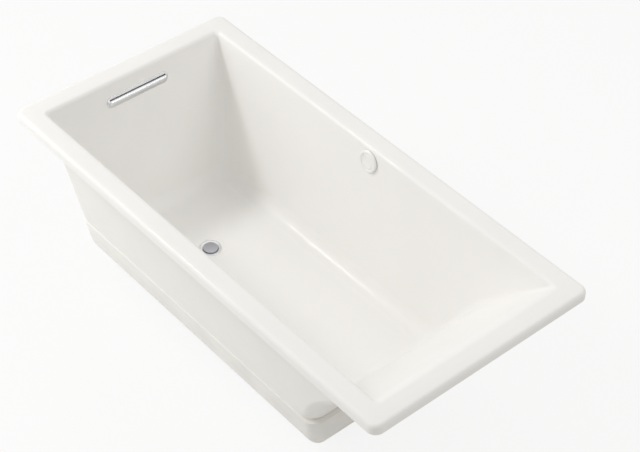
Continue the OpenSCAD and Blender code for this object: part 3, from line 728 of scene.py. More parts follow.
def soften(name: str, node: str, edge: float, slot: Slot) -> Object:
    """Adds a piece with a CAD node's shape and its sharp edges broken, as a moulded or machined
    piece has them.

    Args:
        name: The piece's name.
        node: The CAD node that it stands for.
        edge: The width of a broken edge, in millimetres.
        slot: Its finish.

    Returns:
        The object.
    """
    work = bmesh.new()
    work.from_mesh(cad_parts[node].data)
    bmesh.ops.remove_doubles(work, verts=work.verts[:], dist=CAD_MERGE * MM)
    bmesh.ops.dissolve_limit(
        work, angle_limit=math.radians(FLAT_TURN), verts=work.verts[:], edges=work.edges[:],
        use_dissolve_boundaries=False,
    )
    least = math.radians(SHARP_TURN)
    paired = (e for e in work.edges if len(e.link_faces) == 2)
    bmesh.ops.bevel(
        work, geom=[e for e in paired if e.calc_face_angle(0.0) > least], offset=edge * MM,
        offset_type="OFFSET", segments=2, profile=0.6, affect="EDGES", clamp_overlap=True,
    )
    mesh = bpy.data.meshes.new(node + "_soft")
    work.to_mesh(mesh)
    work.free()
    settle(mesh, SOFT_CREASE, SOFT_MERGE)
    return add_piece(name, mesh, slot, nodes=[node])


def quarter(points: int) -> Array:
    """The angles of a quarter turn, in equal steps."""
    return np.linspace(0, math.pi / 2, points)


def circle(angle: Array) -> Array:
    """Points at those angles on a circle of radius 1: their cosines and sines."""
    return np.stack([np.cos(angle), np.sin(angle)], -1)


def lean(draft: float) -> tuple[float, float]:
    """The cosine and sine of the angle that a wall of that draft leans by."""
    angle = math.atan(draft)
    return math.cos(angle), math.sin(angle)


def rounded(points: Sequence[Point], steps: int = 5) -> Array:
    """A profile with its corners rounded. Each corner is cut back along both its sides by its
    own distance, and a quadratic curve with the corner as its handle joins the two cuts.

    Args:
        points: Corners as (x, y, distance), in order round a closed profile or along an open one.
        steps: Points in a rounded corner.

    Returns:
        The profile's points.
    """
    corners, reach = np.split(np.array(points, float), [2], axis=1)
    before, after = (np.roll(corners, way, 0) - corners for way in (1, -1))
    before, after = (
        side / np.maximum(np.linalg.norm(side, axis=1, keepdims=True), 1e-9)
        for side in (before, after)
    )
    start, end = corners + before * reach, corners + after * reach
    t = np.linspace(0, 1, steps + 1)[None, :, None]
    handle = 2 * t * (1 - t) * corners[:, None]
    curve = (1 - t) ** 2 * start[:, None] + handle + t**2 * end[:, None]
    return curve.reshape(-1, 2)


def turned(profile: Array, sides: int, place: Place) -> Array:
    """Rings of a turned shape: each point of the profile goes round the Z axis at its radius.

    Args:
        profile: Radius and height of each point.
        sides: Points in a ring.
        place: The local frame.

    Returns:
        Points by ring, side and axis.
    """
    angle = np.linspace(0, math.tau, sides, endpoint=False)
    radius, height = profile[:, 0, None], profile[:, 1, None] + 0 * angle
    return place.put(np.stack([radius * np.cos(angle), radius * np.sin(angle), height], -1))


def stadium(length: float, height: float, sides: int = 96) -> Array:
    """A slot outline with round ends, in Y and Z: two half circles, and straight runs between.

    Args:
        length: Its length along Y.
        height: Its height along Z.
        sides: The number of points.

    Returns:
        Points of (y, z).
    """
    arc = np.linspace(-math.pi / 2, math.pi / 2, sides // 3)
    radius = height / 2
    run = (length - height) / 2
    right = np.stack([run + radius * np.cos(arc), radius * np.sin(arc)], -1)
    share = np.linspace(0, 1, sides // 2 - sides // 3 + 2)[1:-1, None]
    top = right[-1] + (right[-1] * (-1, 1) - right[-1]) * share
    half = np.concatenate([right, top])
    return np.concatenate([half, -half])


def ring(outline: Array, x: Array | float) -> Array:
    """One ring across X: each point of a (y, z) outline at its own X, or all at one."""
    return np.insert(outline, 0, x, axis=1)


def prism(outline: Array, levels: tuple[float, float]) -> Array:
    """Two rings of a straight solid: the (x, y) outline at the heights where it starts and ends."""
    return np.stack([np.insert(outline, 2, level, axis=1) for level in levels])


def tube(path: Array, radius: float, sides: int, up: Point) -> Array:
    """Rings of a round lead along a path, each square to it: a circle in the plane of up cross
    tangent and tangent cross that.

    Args:
        path: The points of its centreline.
        radius: Its radius.
        sides: Points in a ring.
        up: A direction that the path never takes.

    Returns:
        Points by ring, side and axis.
    """
    tangent = np.gradient(path, axis=0)
    tangent /= np.linalg.norm(tangent, axis=1, keepdims=True)
    u = np.cross(np.array(up), tangent)
    u /= np.linalg.norm(u, axis=1, keepdims=True)
    v = np.cross(tangent, u)
    angle = np.linspace(0, math.tau, sides, endpoint=False)[None, :, None]
    return path[:, None] + radius * (np.cos(angle) * u[:, None] + np.sin(angle) * v[:, None])


def smooth_path(points: Sequence[Sequence[float]], steps: int) -> Array:
    """A smooth curve through points: each span is a cubic whose end slopes are half the distance
    between the neighbours (Catmull-Rom).

    Args:
        points: The points to pass through.
        steps: Points in each span.

    Returns:
        The curve's points.
    """
    p = np.array(points, float)
    p = np.concatenate([p[:1], p, p[-1:]])
    a, b, c, d = (q[:, None] for q in (p[:-3], p[1:-2], p[2:-1], p[3:]))
    t = np.linspace(0, 1, steps, endpoint=False)[None, :, None]
    curve = 0.5 * (
        2 * b + (c - a) * t + (2 * a - 5 * b + 4 * c - d) * t**2 + (3 * b - a - 3 * c + d) * t**3
    )
    return np.concatenate([curve.reshape(-1, 3), p[-1:]])


def ease(height: Array, radius: float) -> Array:
    """How far a face is drawn in at a height above a flat that it meets with that radius: a
    quarter circle, the radius at height 0 and nothing above the radius."""
    left = np.clip(1 - np.maximum(height, 0) / radius, 0, 1)
    return radius * (1 - np.sqrt(1 - left**2))


def smooth_step(share: Array) -> Array:
    """The cubic that leaves 0 and reaches 1 level."""
    return share**2 * (3 - 2 * share)


# The bath's form


@dataclass(frozen=True)
class BathForm:
    """The bath's visible surface and the layers behind it, in millimetres."""

    length: float = 1676.0
    width: float = 813.0
    height: float = 559.0
    floor: float = 60.0
    skin: float = 4.0
    backing: float = 4.0
    bond: float = 0.2
    rim_side: float = 71.5
    rim_drain: float = 73.0
    rim_back: float = 71.0
    rim_corner: float = 30.0
    rim_edge: float = 14.0
    lip: float = 32.0
    well_edge: float = 12.0
    backing_inset: float = 15.0
    end_draft: float = 0.22
    side_draft: float = 0.111
    back_slope: float = 1.0
    back_foot_slope: float = 0.53
    back_drop: float = 245.8
    crease: float = 6.0
    hip_depth: float = 12.0
    hip_rise: float = 125.0
    hip_spread: float = 45.0
    well_corner: float = 12.0
    foot_corner: float = 52.0
    foot: float = 45.0
    least: float = 3.0
    crowding: float = 1.4
    corner_steps: int = 14
    straight_steps: int = 11

    @property
    def backing_in(self) -> float:
        """Depth of the backing's inner face."""
        return self.skin + self.bond

    @property
    def backing_out(self) -> float:
        """Depth of the backing's outer face."""
        return self.backing_in + self.backing

    def end_x(self, z: Array | float) -> Array:
        """The waste end's wall: straight, leaning in by its draft."""
        return -self.length / 2 + self.rim_drain + self.end_draft * (self.height - z)

    def side_y(self, z: Array | float) -> Array:
        """The long walls: straight, leaning in by their draft."""
        return self.width / 2 - self.rim_side - self.side_draft * (self.height - z)

    def corner(self, z: Array) -> Array:
        """The corner radius, which grows in proportion with the depth."""
        share = (self.height - z) / (self.height - self.floor)
        return self.well_corner + (self.foot_corner - self.well_corner) * share

    def back_x(self, z: Array | float) -> Array:
        """The backrest: the outer of two slopes, blended by a hyperbola, plus a bell for the hips.

        Args:
            z: Heights.

        Returns:
            The backrest's X at each.
        """
        drop = self.height - z
        upper = self.length / 2 - self.rim_back - self.back_slope * drop
        meet = self.length / 2 - self.rim_back - self.back_slope * self.back_drop
        lower = meet - self.back_foot_slope * (drop - self.back_drop)
        bell = self.hip_depth * np.exp(-(((z - self.floor - self.hip_rise) / self.hip_spread) ** 2))
        return (upper + lower) / 2 + np.sqrt(((upper - lower) / 2) ** 2 + self.crease**2) + bell

    def back_stretch(self, z: Array) -> Array:
        """How much longer the sloped backrest is than its height."""
        return np.sqrt(1 + ((self.back_x(z + 1) - self.back_x(z - 1)) / 2) ** 2)

    def outline(
        self, low: Array, high: Array, half: Array, radius: Array, z: Array, end: Array | None = None
    ) -> Array:
        """Rounded rectangles, one for each level: four arcs about their own centres, with points
        in equal steps along the straights.

        Args:
            low: Each level's lowest X.
            high: Its highest X.
            half: Half its width.
            radius: Its corner radius.
            z: Its height.
            end: The corner radius at the highest X, where it is another.

        Returns:
            Points by level, side and axis.
        """
        far = radius if end is None else end
        low, high, half, radius, z, far = np.broadcast_arrays(low, high, half, radius, z, far)
        angle = math.pi / 2 * (np.arange(4)[:, None] + np.linspace(0, 1, self.corner_steps + 1))
        to_x, to_y = np.array([1, -1, -1, 1]), np.array([1, 1, -1, -1])
        radii = np.where(to_x > 0, far[:, None], radius[:, None])
        centre_x = np.where(to_x > 0, high[:, None] - radii, low[:, None] + radii)
        centres = np.stack([centre_x, to_y * (half[:, None] - radii)], -1)[:, :, None]
        arcs = centres + radii[..., None, None] * circle(angle)
        share = (np.arange(self.straight_steps) + 1)[:, None] / (self.straight_steps + 1)
        start, stop = arcs[:, :, -1:], np.roll(arcs, -1, axis=1)[:, :, :1]
        flat = np.concatenate([arcs, start + (stop - start) * share], axis=2)
        flat = flat.reshape(len(low), -1, 2)
        heights = np.broadcast_to(z[:, None, None], (*flat.shape[:2], 1))
        return np.concatenate([flat, heights], -1)

    def rim(self, inset: Array, z: Array) -> Array:
        """The rim's outline drawn in by each inset at its height."""
        end, side = self.length / 2 - inset, self.width / 2 - inset
        return self.outline(-end, end, side, np.maximum(self.rim_corner - inset, self.least), z)

    def heights(self, depth: float, foot: int, wall: int, edge: int) -> Array:
        """Levels of the surface that lies depth behind the visible one: equal angles over the
        foot, closer steps low on the wall, and equal angles over the edge.

        Args:
            depth: How far behind the visible surface.
            foot: Steps over the foot.
            wall: Steps up the wall.
            edge: Steps over the edge.

        Returns:
            The heights.
        """
        low = self.floor - depth + (self.foot + depth) * (1 - np.cos(quarter(foot + 1)))
        start, stop = self.floor + self.foot, self.height - self.well_edge
        middle = start + (stop - start) * np.linspace(0, 1, wall + 1)[1:] ** self.crowding
        over = (self.well_edge - depth) * (1 - np.sin(quarter(edge + 1)[1:]))
        return np.concatenate([low, middle, self.height - depth - over])

    def skin_at(self, depth: float, z: Array) -> Array:
        """Rings of the surface that lies depth behind the visible one. At each height the walls'
        outline grows by the depth, is drawn in over the foot, and flares at the edge.

        Args:
            depth: How far behind the visible surface.
            z: The rings' heights.

        Returns:
            Points by level, side and axis.
        """
        draw = ease(z - (self.floor - depth), self.foot + depth)
        flare = ease(self.height - depth - z, self.well_edge - depth)
        grow = depth + flare - draw
        back = self.back_x(z) + depth * self.back_stretch(z) + flare - draw
        corner = np.maximum(self.corner(z) + grow, self.least)
        return self.outline(self.end_x(z) - grow, back, self.side_y(z) + grow, corner, z)

    def skin_rings(self, depth: float, *steps: int) -> Array:
        """Rings of that surface from the floor up, with steps over the foot, wall and edge."""
        return self.skin_at(depth, self.heights(depth, *steps))

    def drain_rings(self, floor_ring: Array, centre: float, profile: Array) -> Array:
        """Circles round the waste whose points face those of a floor ring: each lies on the line
        from the waste to its partner, at the profile's radius.

        Args:
            floor_ring: The floor ring that the circles face.
            centre: The waste's X.
            profile: Radius and height of each circle.

        Returns:
            Points by circle, side and axis.
        """
        angle = np.arctan2(floor_ring[:, 1], floor_ring[:, 0] - centre)
        radius, z = profile[:, 0, None], profile[:, 1, None]
        x, y = centre + radius * np.cos(angle), radius * np.sin(angle)
        return np.stack([x, y, np.broadcast_to(z, x.shape)], -1)


FORM = BathForm()


class Assembly(ABC):
    """A part of the bath that makes and dresses its own pieces."""

    @abstractmethod
    def build(self) -> None:
        """Makes the pieces."""


# Overflow


@dataclass(frozen=True)
class Overflow(Assembly):
    """The chrome overflow trim, and the chamber and pipe behind it."""

    z: float = 493.0
    length: float = 240.0
    height: float = 40.0
    proud: float = 9.0
    border: float = 8.0
    slot_height: float = 11.0
    slot_z: float = 6.5
    slot_margin: float = 2.0
    neck_wall: float = 2.5
    neck_back: float = 14.6
    hole_fit: float = 0.3
    hole_span: tuple[float, float] = (-30.0, 20.0)
    plate: float = 3.0
    face: float = 0.1
    crest_reach: float = 0.42
    roundness: float = 1.15
    lip: float = 0.7
    pocket: float = 2.5
    pocket_share: float = 0.6
    ramp: float = 4.6
    squeeze: float = 0.87
    sharp: float = 50.0
    sides: int = 192

    def place(self) -> Place:
        """The trim's frame on the end wall: X into the well, Z up the wall.

        Returns:
            The local frame.
        """
        c, s = lean(FORM.end_draft)
        origin = (float(FORM.end_x(self.z)), 0.0, self.z)
        return Place(origin, (c, 0.0, s), (0.0, 1.0, 0.0), (-s, 0.0, c))

    def hole(self) -> Mesh:
        """A solid that cuts the trim's neck hole through the wall.

        Returns:
            The cutter's mesh.
        """
        cut_back = self.hole_fit - 2 * self.border
        rings = prism(stadium(self.length + cut_back, self.height + cut_back), self.hole_span)
        return mesh_of("overflow_hole", self.place().put(rings[..., [2, 0, 1]]))

    def crest(self, outline: Array) -> Array:
        """How far the trim stands off the wall at its mouth: most below it, in a smooth step, and
        least above it."""
        below = 0.5 - 0.5 * np.clip(outline[:, 1] / (self.crest_reach * self.height), -1, 1)
        return self.plate + (self.proud - self.plate) * smooth_step(below)

    def mouth(self, grow: float = 0.0, squeeze: float = 1.0) -> Array:
        """The mouth's outline.

        Args:
            grow: How much larger it is all round.
            squeeze: What its height is multiplied by.

        Returns:
            Points of (y, z).
        """
        length = self.length - 2 * self.border - self.slot_margin + 2 * grow
        outline = stadium(length, self.slot_height + 2 * grow, self.sides)
        return outline * (1, squeeze) + (0, self.slot_z)

    def face_rings(self) -> Array:
        """The chrome face as one loop of rings: from its back edge, over its front to the lip of
        the mouth. Each ring is a slot outline between the plate's and the mouth's. Its distance
        from the wall rises in a quarter sine from the plate's edge to the crest.

        Returns:
            Points by ring, side and axis, in the trim's frame.
        """
        plate, mouth = stadium(self.length, self.height, self.sides), self.mouth()
        crest = self.crest(plate)
        edge = self.plate * 0.6
        start = edge / (0.5 * self.height)
        rows = [(0.0, self.face)]
        rows += [
            (start * (1 - math.cos(t)), self.face + edge * 0.4 + edge * math.sin(t))
            for t in quarter(5)
        ]
        for share in np.linspace(start, 1, 12)[1:]:
            rise = np.sin((share - start) / (1 - start) * math.pi / 2) ** self.roundness
            rows.append((share, self.face + edge * 1.4 + (crest - edge * 1.4) * rise))
        rings = [ring(plate * (1 - share) + mouth * share, x) for share, x in rows]
        for turn in np.linspace(0, math.pi, 7)[1:]:
            squeeze = 1 - self.lip * (1 - math.cos(turn)) / self.slot_height
            x = self.face + crest + self.lip * math.sin(turn)
            rings.append(ring(self.mouth(squeeze=squeeze), x))
        return np.stack(rings)

    def lining_rings(self) -> Array:
        """The lining behind the face as one loop of rings: from the mouth down the pocket, whose
        floor rises in a quarter sine, back along the neck, and forward again outside.

        Returns:
            Points by ring, side and axis, in the trim's frame.
        """
        crest = self.face + self.crest(stadium(self.length, self.height, self.sides))
        neck_out, neck_in = (
            stadium(self.length - narrow, self.height - narrow, self.sides)
            for narrow in (2 * self.border, 2 * (self.border + self.neck_wall))
        )
        inner = self.mouth(squeeze=self.squeeze)
        low = np.clip((self.slot_z - inner[:, 1]) / (0.3 * self.slot_height), 0, 1)
        rings = []
        for share in np.linspace(0, 1, 13):
            blend = max(0.0, share - self.pocket_share) / (1 - self.pocket_share)
            rise = math.sin(min(share / self.pocket_share, 1) * math.pi / 2)
            lift = np.outer(low * self.ramp * rise * (1 - blend), (0, 1))
            x = (crest - 0.3) * (1 - share) - self.pocket * share
            rings.append(ring(inner * (1 - blend) + neck_in * blend + lift, x))
        rings += [ring(neck_in, -self.neck_back), ring(neck_out, -self.neck_back)]
        rings += [ring(neck_out, self.face), ring(self.mouth(1.2), crest - 1.6)]
        return np.stack(rings)

    def build(self) -> None:
        """Makes the trim and dresses the chamber behind it."""
        for name, rings, nodes in (
            ("overflow_scoop", self.face_rings(), ["overflow_trim"]),
            ("overflow_lining", self.lining_rings(), []),
        ):
            mesh = mesh_of(name, self.place().put(rings), True, self.sharp)
            add_piece(name, mesh, Slot.CHROME, nodes=nodes)
        soften("overflow_chamber", "overflow_housing", 1.0, Slot.PIPE_PLASTIC)
        dress(Slot.SEAL_RUBBER, "overflow_gasket")
        dress(Slot.STEEL, "overflow_screws")
        dress(Slot.PIPE_PLASTIC, "overflow_pipe")


# Push button


@dataclass(frozen=True)
class PushButton(Assembly):
    """The push button in the far wall."""

    x: float = -7.0
    z: float = 509.0
    bezel: float = 37.5
    bezel_height: float = 8.0
    bezel_z: float = 1.55
    recess: float = 3.55
    button: float = 25.0
    button_z: float = 5.75
    button_thick: float = 2.0
    shoulder: float = 1.0
    bowl_edge: float = 4.4
    bowl_depth: float = 1.6
    gap: float = 0.2
    fit: float = 0.15
    barrel: float = 24.0
    barrel_wall: float = 3.0
    barrel_length: float = 20.0
    hole_fit: float = 0.5
    hole_span: tuple[float, float] = (-25.0, 12.0)
    plunger: float = 8.0
    plunger_end: float = -15.0
    sides: int = 96

    def place(self) -> Place:
        """The button's frame on the far wall: Z into the well.

        Returns:
            The local frame.
        """
        c, s = lean(FORM.side_draft)
        origin = (self.x, float(FORM.side_y(self.z)), self.z)
        return Place(origin, (1.0, 0.0, 0.0), (0.0, s, c), (0.0, -c, s))

    def hole(self) -> Mesh:
        """A solid that cuts the barrel's hole through the wall."""
        profile = np.array([[self.barrel + self.hole_fit, level] for level in self.hole_span])
        return mesh_of("button_hole", turned(profile, 64, self.place()))

    def ring_profile(self) -> Array:
        """The ring's profile: up the barrel outside, over the flange, and down into the recess.

        Returns:
            Radius and height of its points.
        """
        top = self.bezel_z + self.bezel_height
        face = self.button_z + self.button_thick
        bore, well = self.barrel - self.barrel_wall, self.button + self.fit
        return rounded(
            [
                (bore, -self.barrel_length, 0.4),
                (self.barrel, -self.barrel_length, 0.4),
                (self.barrel, self.bezel_z, 0.1),
                (self.bezel, self.bezel_z, 0.3),
                (self.bezel, top - 2.6, 2.2),
                (self.bezel - 4.6, top, 2.0),
                (self.button + 3.6, top - 0.2, 1.5),
                (self.button + 0.8, face + 0.5, 0.6),
                (well, face - 1.0, 0.3),
                (well, self.recess, 0.2),
                (bore, self.recess, 0.2),
            ]
        )

    def cap_profile(self) -> Array:
        """The cap's profile: up the plunger, round the cap's shoulder in a quarter circle, and
        across its bowl, a parabola.

        Returns:
            Radius and height of its points.
        """
        face = self.button_z + self.button_thick
        edge = self.button - self.gap
        end, rod, seat = self.plunger_end, self.plunger, self.button_z
        back = [[0.0, end], [rod - 0.5, end], [rod, end + 0.5], [rod, seat]]
        back += [[edge - 0.3, seat], [edge, seat + 0.3]]
        start = (edge - self.shoulder, face - self.shoulder)
        shoulder = circle(quarter(6)) * self.shoulder + start
        dish = np.linspace(1, 0, 9)
        bowl = [(edge - self.bowl_edge) * dish, face - self.bowl_depth * (1 - dish**2)]
        return np.concatenate([np.array(back), shoulder, np.stack(bowl, -1)])

    def build(self) -> None:
        """Turns the ring and the button, and dresses what is behind the wall."""
        bezel = mesh_of("button_ring", turned(self.ring_profile(), self.sides, self.place()), True)
        add_piece("button_ring", bezel, Slot.BUTTON_PLASTIC, nodes=["control_bezel"])
        cap = mesh_of("button_cap", turned(self.cap_profile(), self.sides, self.place()))
        add_piece("button_cap", cap, Slot.BUTTON_PLASTIC, "button", ["control_button"])
        soften("button_nut", "control_nut", 0.6, Slot.BUTTON_PLASTIC)
        soften("button_can", "control_housing", 1.0, Slot.CASE_PLASTIC)
        dress(Slot.SEAL_RUBBER, "control_gasket", "control_switch")
        dress(Slot.STEEL, "control_spring")


# Waste


@dataclass(frozen=True)
class Waste(Assembly):
    """The waste in the floor, with its stopper, and the pipes to the outlet."""

    x: float = -385.0
    seat: float = 58.5
    flange: float = 36.5
    flange_thick: float = 3.0
    neck: float = 25.5
    body: float = 23.0
    neck_z: float = 52.8
    throat: float = 19.0
    bottom: float = 36.0
    web: float = 4.0
    web_half: float = 2.0
    thread: float = 4.15
    hub: float = 6.5
    dish_edge: float = 59.9
    dish: float = 53.4
    hole: float = 26.0
    recess: float = 47.0
    recess_slope: float = 5.0
    stopper: float = 25.0
    stopper_edge: float = 2.3
    crown: float = 1.65
    cap_z: float = 60.9
    stem: float = 5.0
    stem_bottom: float = 46.5
    sides: int = 96

    def place(self) -> Place:
        """The waste's frame: Z up."""
        return Place((self.x, 0.0, 0.0))

    def recess_profile(self) -> Array:
        """The circles from the hole's edge under the sheet, over the flange's seat and up to the
        floor in a smooth step.

        Returns:
            Radius and height of each circle.
        """
        blend, edge, seat = np.linspace(0, 1, 7), self.hole, self.seat
        rise = seat + (FORM.floor - seat) * smooth_step(blend)
        slope = np.stack([self.recess - 3 + self.recess_slope * blend, rise], -1)
        hole = [[edge, FORM.floor - FORM.skin], [edge, seat - 0.4], [edge + 0.4, seat]]
        return np.concatenate([np.array(hole), slope])

    def openings(self) -> list[Mesh]:
        """The four openings of the cross under the waste: each lies between two arcs, whose ends
        keep half a web's width from the cross's middle lines.

        Returns:
            Solids that cut them.
        """
        arcs = []
        for radius, steps in ((self.throat - 1.0, 12), (self.hub, 6)):
            least = math.asin(self.web_half / radius)
            turn = np.linspace(least, math.pi / 2 - least, steps)
            arcs.append(radius * circle(turn))
        flat = np.concatenate([arcs[0], arcs[1][::-1]])
        made = []
        for corner in (45, 135, 225, 315):
            c, s = math.cos(math.radians(corner)), math.sin(math.radians(corner))
            levels = (self.bottom - 2, self.bottom + self.web + 2)
            rings = prism(flat @ np.array([[c, s], [-s, c]]), levels)
            made.append(mesh_of("cross_opening", self.place().put(rings)))
        return made

    def flange_profile(self) -> Array:
        """The flange's profile: up the body outside, over the flange, and down its dish and throat.

        Returns:
            Radius and height of its points.
        """
        top, floor = self.seat + self.flange_thick, self.bottom + self.web
        return rounded(
            [
                (self.thread, self.bottom, 0.2),
                (self.body, self.bottom, 0.4),
                (self.body, self.neck_z, 0.3),
                (self.neck, self.neck_z, 0.3),
                (self.neck, self.seat, 0.2),
                (self.flange, self.seat, 0.4),
                (self.flange, top, 1.6),
                (self.flange - 3.6, top, 1.0),
                (self.neck, self.dish_edge, 1.6),
                (self.throat + 1.6, self.dish, 1.8),
                (self.throat, self.dish - 2.0, 0.8),
                (self.throat, floor, 0.2),
                (self.thread, floor, 0.2),
            ]
        )

    def stopper_profile(self) -> Array:
        """The stopper's profile: up the stem, round the cap's rim, and over its crown, a parabola.

        Returns:
            Radius and height of its points.
        """
        rod, foot, rim, base = self.stem, self.stem_bottom, self.stopper, self.cap_z
        stem = np.array([[0.0, foot], [rod - 0.8, foot], [rod, foot + 0.8], [rod, base]])
        under = rounded([(0.0, 0.0, 0.0), (rim, base, 0.4), (rim, base + 2.1, 0.8)], 4)[5:]
        under[0] = (rim - 0.5, base)
        share = np.linspace(1, 0, 12)
        rise = base + self.stopper_edge + self.crown * (1 - share**2)
        return np.concatenate([stem, under, np.stack([(rim - 1.2) * share, rise], -1)])

    def build(self) -> None:
        """Turns the flange and the stopper, and dresses the pipes."""
        rings = turned(self.flange_profile(), self.sides, self.place())
        flange = cut(mesh_of("waste_flange", rings, True), self.openings())
        add_piece("waste_flange", flange, Slot.CHROME, nodes=["drain_flange"])
        rings = turned(self.stopper_profile(), self.sides, self.place())
        knob = mesh_of("stopper_knob", rings)
        add_piece("stopper_knob", knob, Slot.STEEL, "stopper", ["stopper_cap"])
        dress(Slot.SEAL_RUBBER, "stopper_seal", "drain_gasket", "slip_washers")
        dress(Slot.BRASS, "stopper_guide")
        dress(Slot.STEEL, "stopper_spring")
        dress(Slot.PIPE_PLASTIC, "waste_pipe", "outlet_pipe")
        soften("waste_elbow", "drain_shoe", 0.8, Slot.BRASS)
        soften("pipe_tee", "waste_tee", 0.8, Slot.PIPE_PLASTIC)
        soften("pipe_nuts", "slip_nuts", 0.5, Slot.PIPE_PLASTIC)


# Tub and base


@dataclass(frozen=True)
class Tub(Assembly):
    """The acrylic sheet and its glass-fibre backing. Steps are over the foot, wall and edge."""

    overflow: Overflow
    button: PushButton
    waste: Waste
    front_steps: tuple[int, int, int] = (14, 30, 8)
    behind_steps: tuple[int, int, int] = (12, 24, 6)
    hidden_steps: tuple[int, int, int] = (8, 14, 5)
    blunt: float = 0.5
    backing_blunt: float = 0.6

    def basin_rings(self) -> Array:
        """The sheet as one loop of rings: from the waste's hole over the floor, up the walls, over
        the rim and its lip, and back underneath.

        Returns:
            Points by ring, side and axis.
        """
        form, top, skin, blunt = FORM, FORM.height, FORM.skin, self.blunt
        inner = form.skin_rings(0.0, *self.front_steps)
        under = form.skin_rings(skin, *self.hidden_steps)[::-1]
        turn = quarter(9)
        edge = form.rim(
            form.rim_edge * (1 - np.sin(turn)), top - form.rim_edge * (1 - np.cos(turn))
        )
        insets, lifts = np.array([0.0, blunt, skin - blunt, skin]), np.array([blunt, 0, 0, blunt])
        lip = form.rim(insets, top - form.lip + lifts)
        inside, turn = form.rim_edge - skin, quarter(6)
        below = form.rim(
            skin + inside * (1 - np.cos(turn)), top - skin - inside * (1 - np.sin(turn))
        )
        circles = form.drain_rings(inner[0], self.waste.x, self.waste.recess_profile())
        return np.concatenate([circles, inner, edge, lip, below, under])

    def backing_rings(self) -> Array:
        """The backing as one loop of rings, from the waste's hole up outside, over the edge under
        the rim and down inside.

        Returns:
            Points by ring, side and axis.
        """
        form, blunt = FORM, self.backing_blunt
        depths = (form.backing_in, form.backing_out)
        outer = form.skin_rings(form.backing_out, *self.behind_steps)
        inner = form.skin_rings(form.backing_in, *self.hidden_steps)[::-1]
        high, low = (form.height - depth for depth in depths)
        insets = form.backing_inset + np.array([blunt, 0, 0, blunt])
        edge = form.rim(insets, np.array([low, low + blunt, high - blunt, high]))
        hole = np.array([[self.waste.hole, form.floor - depth] for depth in depths])
        circles = form.drain_rings(outer[0], self.waste.x, hole)
        return np.concatenate([circles, outer, edge, inner])

    def build(self) -> None:
        """Makes both shells and cuts the holes for the overflow and the button."""
        for name, rings, slot, node in (
            ("bath_basin", self.basin_rings(), Slot.ACRYLIC, "basin"),
            ("bath_backing", self.backing_rings(), Slot.GLASS_FIBRE, "backing_shell"),
        ):
            solid = mesh_of(name, rings, True)
            mesh = cut(solid, [self.overflow.hole(), self.button.hole()])
            add_piece(name, mesh, slot, nodes=[node])


@dataclass(frozen=True)
class Base(Assembly):
    """The moulded base with its board and pads."""

    waste: Waste
    bottom: float = 36.0
    top: float = 170.0
    thick: float = 3.0
    radius: float = 69.0
    end_reach: float = 29.4
    end_corner: float = 42.0
    clear: float = 0.2
    brim: float = 2.8
    brim_drop: float = 10.0
    channel: float = 78.0
    channel_bottom: float = -5.0
    foot_points: int = 20
    brim_points: int = 10

    @property
    def inner(self) -> float:
        """Depth of the base's inner face behind the bath's surface."""
        return FORM.backing_out + self.clear

    def level(self, depth: Array, draw: Array, z: Array) -> Array:
        """Rings of the base at a depth behind the bath's surface, drawn in at their height.

        Args:
            depth: How far behind the bath's surface.
            draw: How far each ring is drawn in.
            z: Its height.

        Returns:
            Points by level, side and axis.
        """
        form, outer, grow = FORM, self.inner + self.thick, depth - draw
        end_x = float(form.back_x(self.top)) + self.end_reach
        return form.outline(
            form.end_x(z) - grow, end_x - outer + grow, form.side_y(z) + grow,
            np.maximum(form.corner(z) + grow, form.least), z,
            np.maximum(self.end_corner - outer + grow, form.least),
        )

    def tray(self, depth: float, bottom: float, radius: float, top: float) -> Array:
        """Rings from the bottom up, drawn in by a quarter circle over the rounded bottom edge."""
        z = np.append(bottom + radius * (1 - np.cos(quarter(self.foot_points))), top)
        return self.level(np.full(len(z), depth), ease(z - bottom, radius), z)

    def rings(self) -> Array:
        """The base as rings: from its underside up outside, over its rounded brim, a quarter of an
        ellipse, across the ledge to the backing and down inside.

        Returns:
            Points by ring, side and axis.
        """
        thick, top, turn = self.thick, self.top, quarter(self.brim_points)[1:]
        outer = self.inner + thick
        outside = self.tray(outer, self.bottom, self.radius, top - self.brim_drop)
        depth = outer - self.brim * (1 - np.cos(turn))
        over = self.level(depth, 0 * turn, top - self.brim_drop * (1 - np.sin(turn)))
        seam = FORM.skin_at(FORM.backing_out, np.array([top, top - thick]))
        inside = self.tray(self.inner, self.bottom + thick, self.radius - thick, top - thick)
        return np.concatenate([outside, over, seam, inside[::-1]])

    def build(self) -> None:
        """Makes the base, with a channel for the waste's pipe, its board and its pads."""
        side = self.channel / 2
        start, end = -FORM.length / 2, self.waste.x + side
        plan = np.array([[start, -side], [end, -side], [end, side], [start, side]])
        levels = (self.channel_bottom, FORM.floor - FORM.backing_out)
        channel = mesh_of("base_channel", prism(plan, levels))
        mesh = cut(mesh_of("bath_base", self.rings()), [channel])
        add_piece("bath_base", mesh, Slot.BASE_MOULDING, nodes=["base_cradle"])
        soften("floor_board", "base_board", 1.0, Slot.TIMBER)
        pads = soften("support_pads", "base_pads", 2.5, Slot.FOAM_PAD)


@dataclass(frozen=True)
class Rails(Assembly):
    """The timber rails under the rim."""

    edge: float = 1.5

    def build(self) -> None:
        """Makes both rails."""
        for name, node in (("near_rail", "rim_rail_near"), ("far_rail", "rim_rail_far")):
            soften(name, node, self.edge, Slot.TIMBER)


# Heater


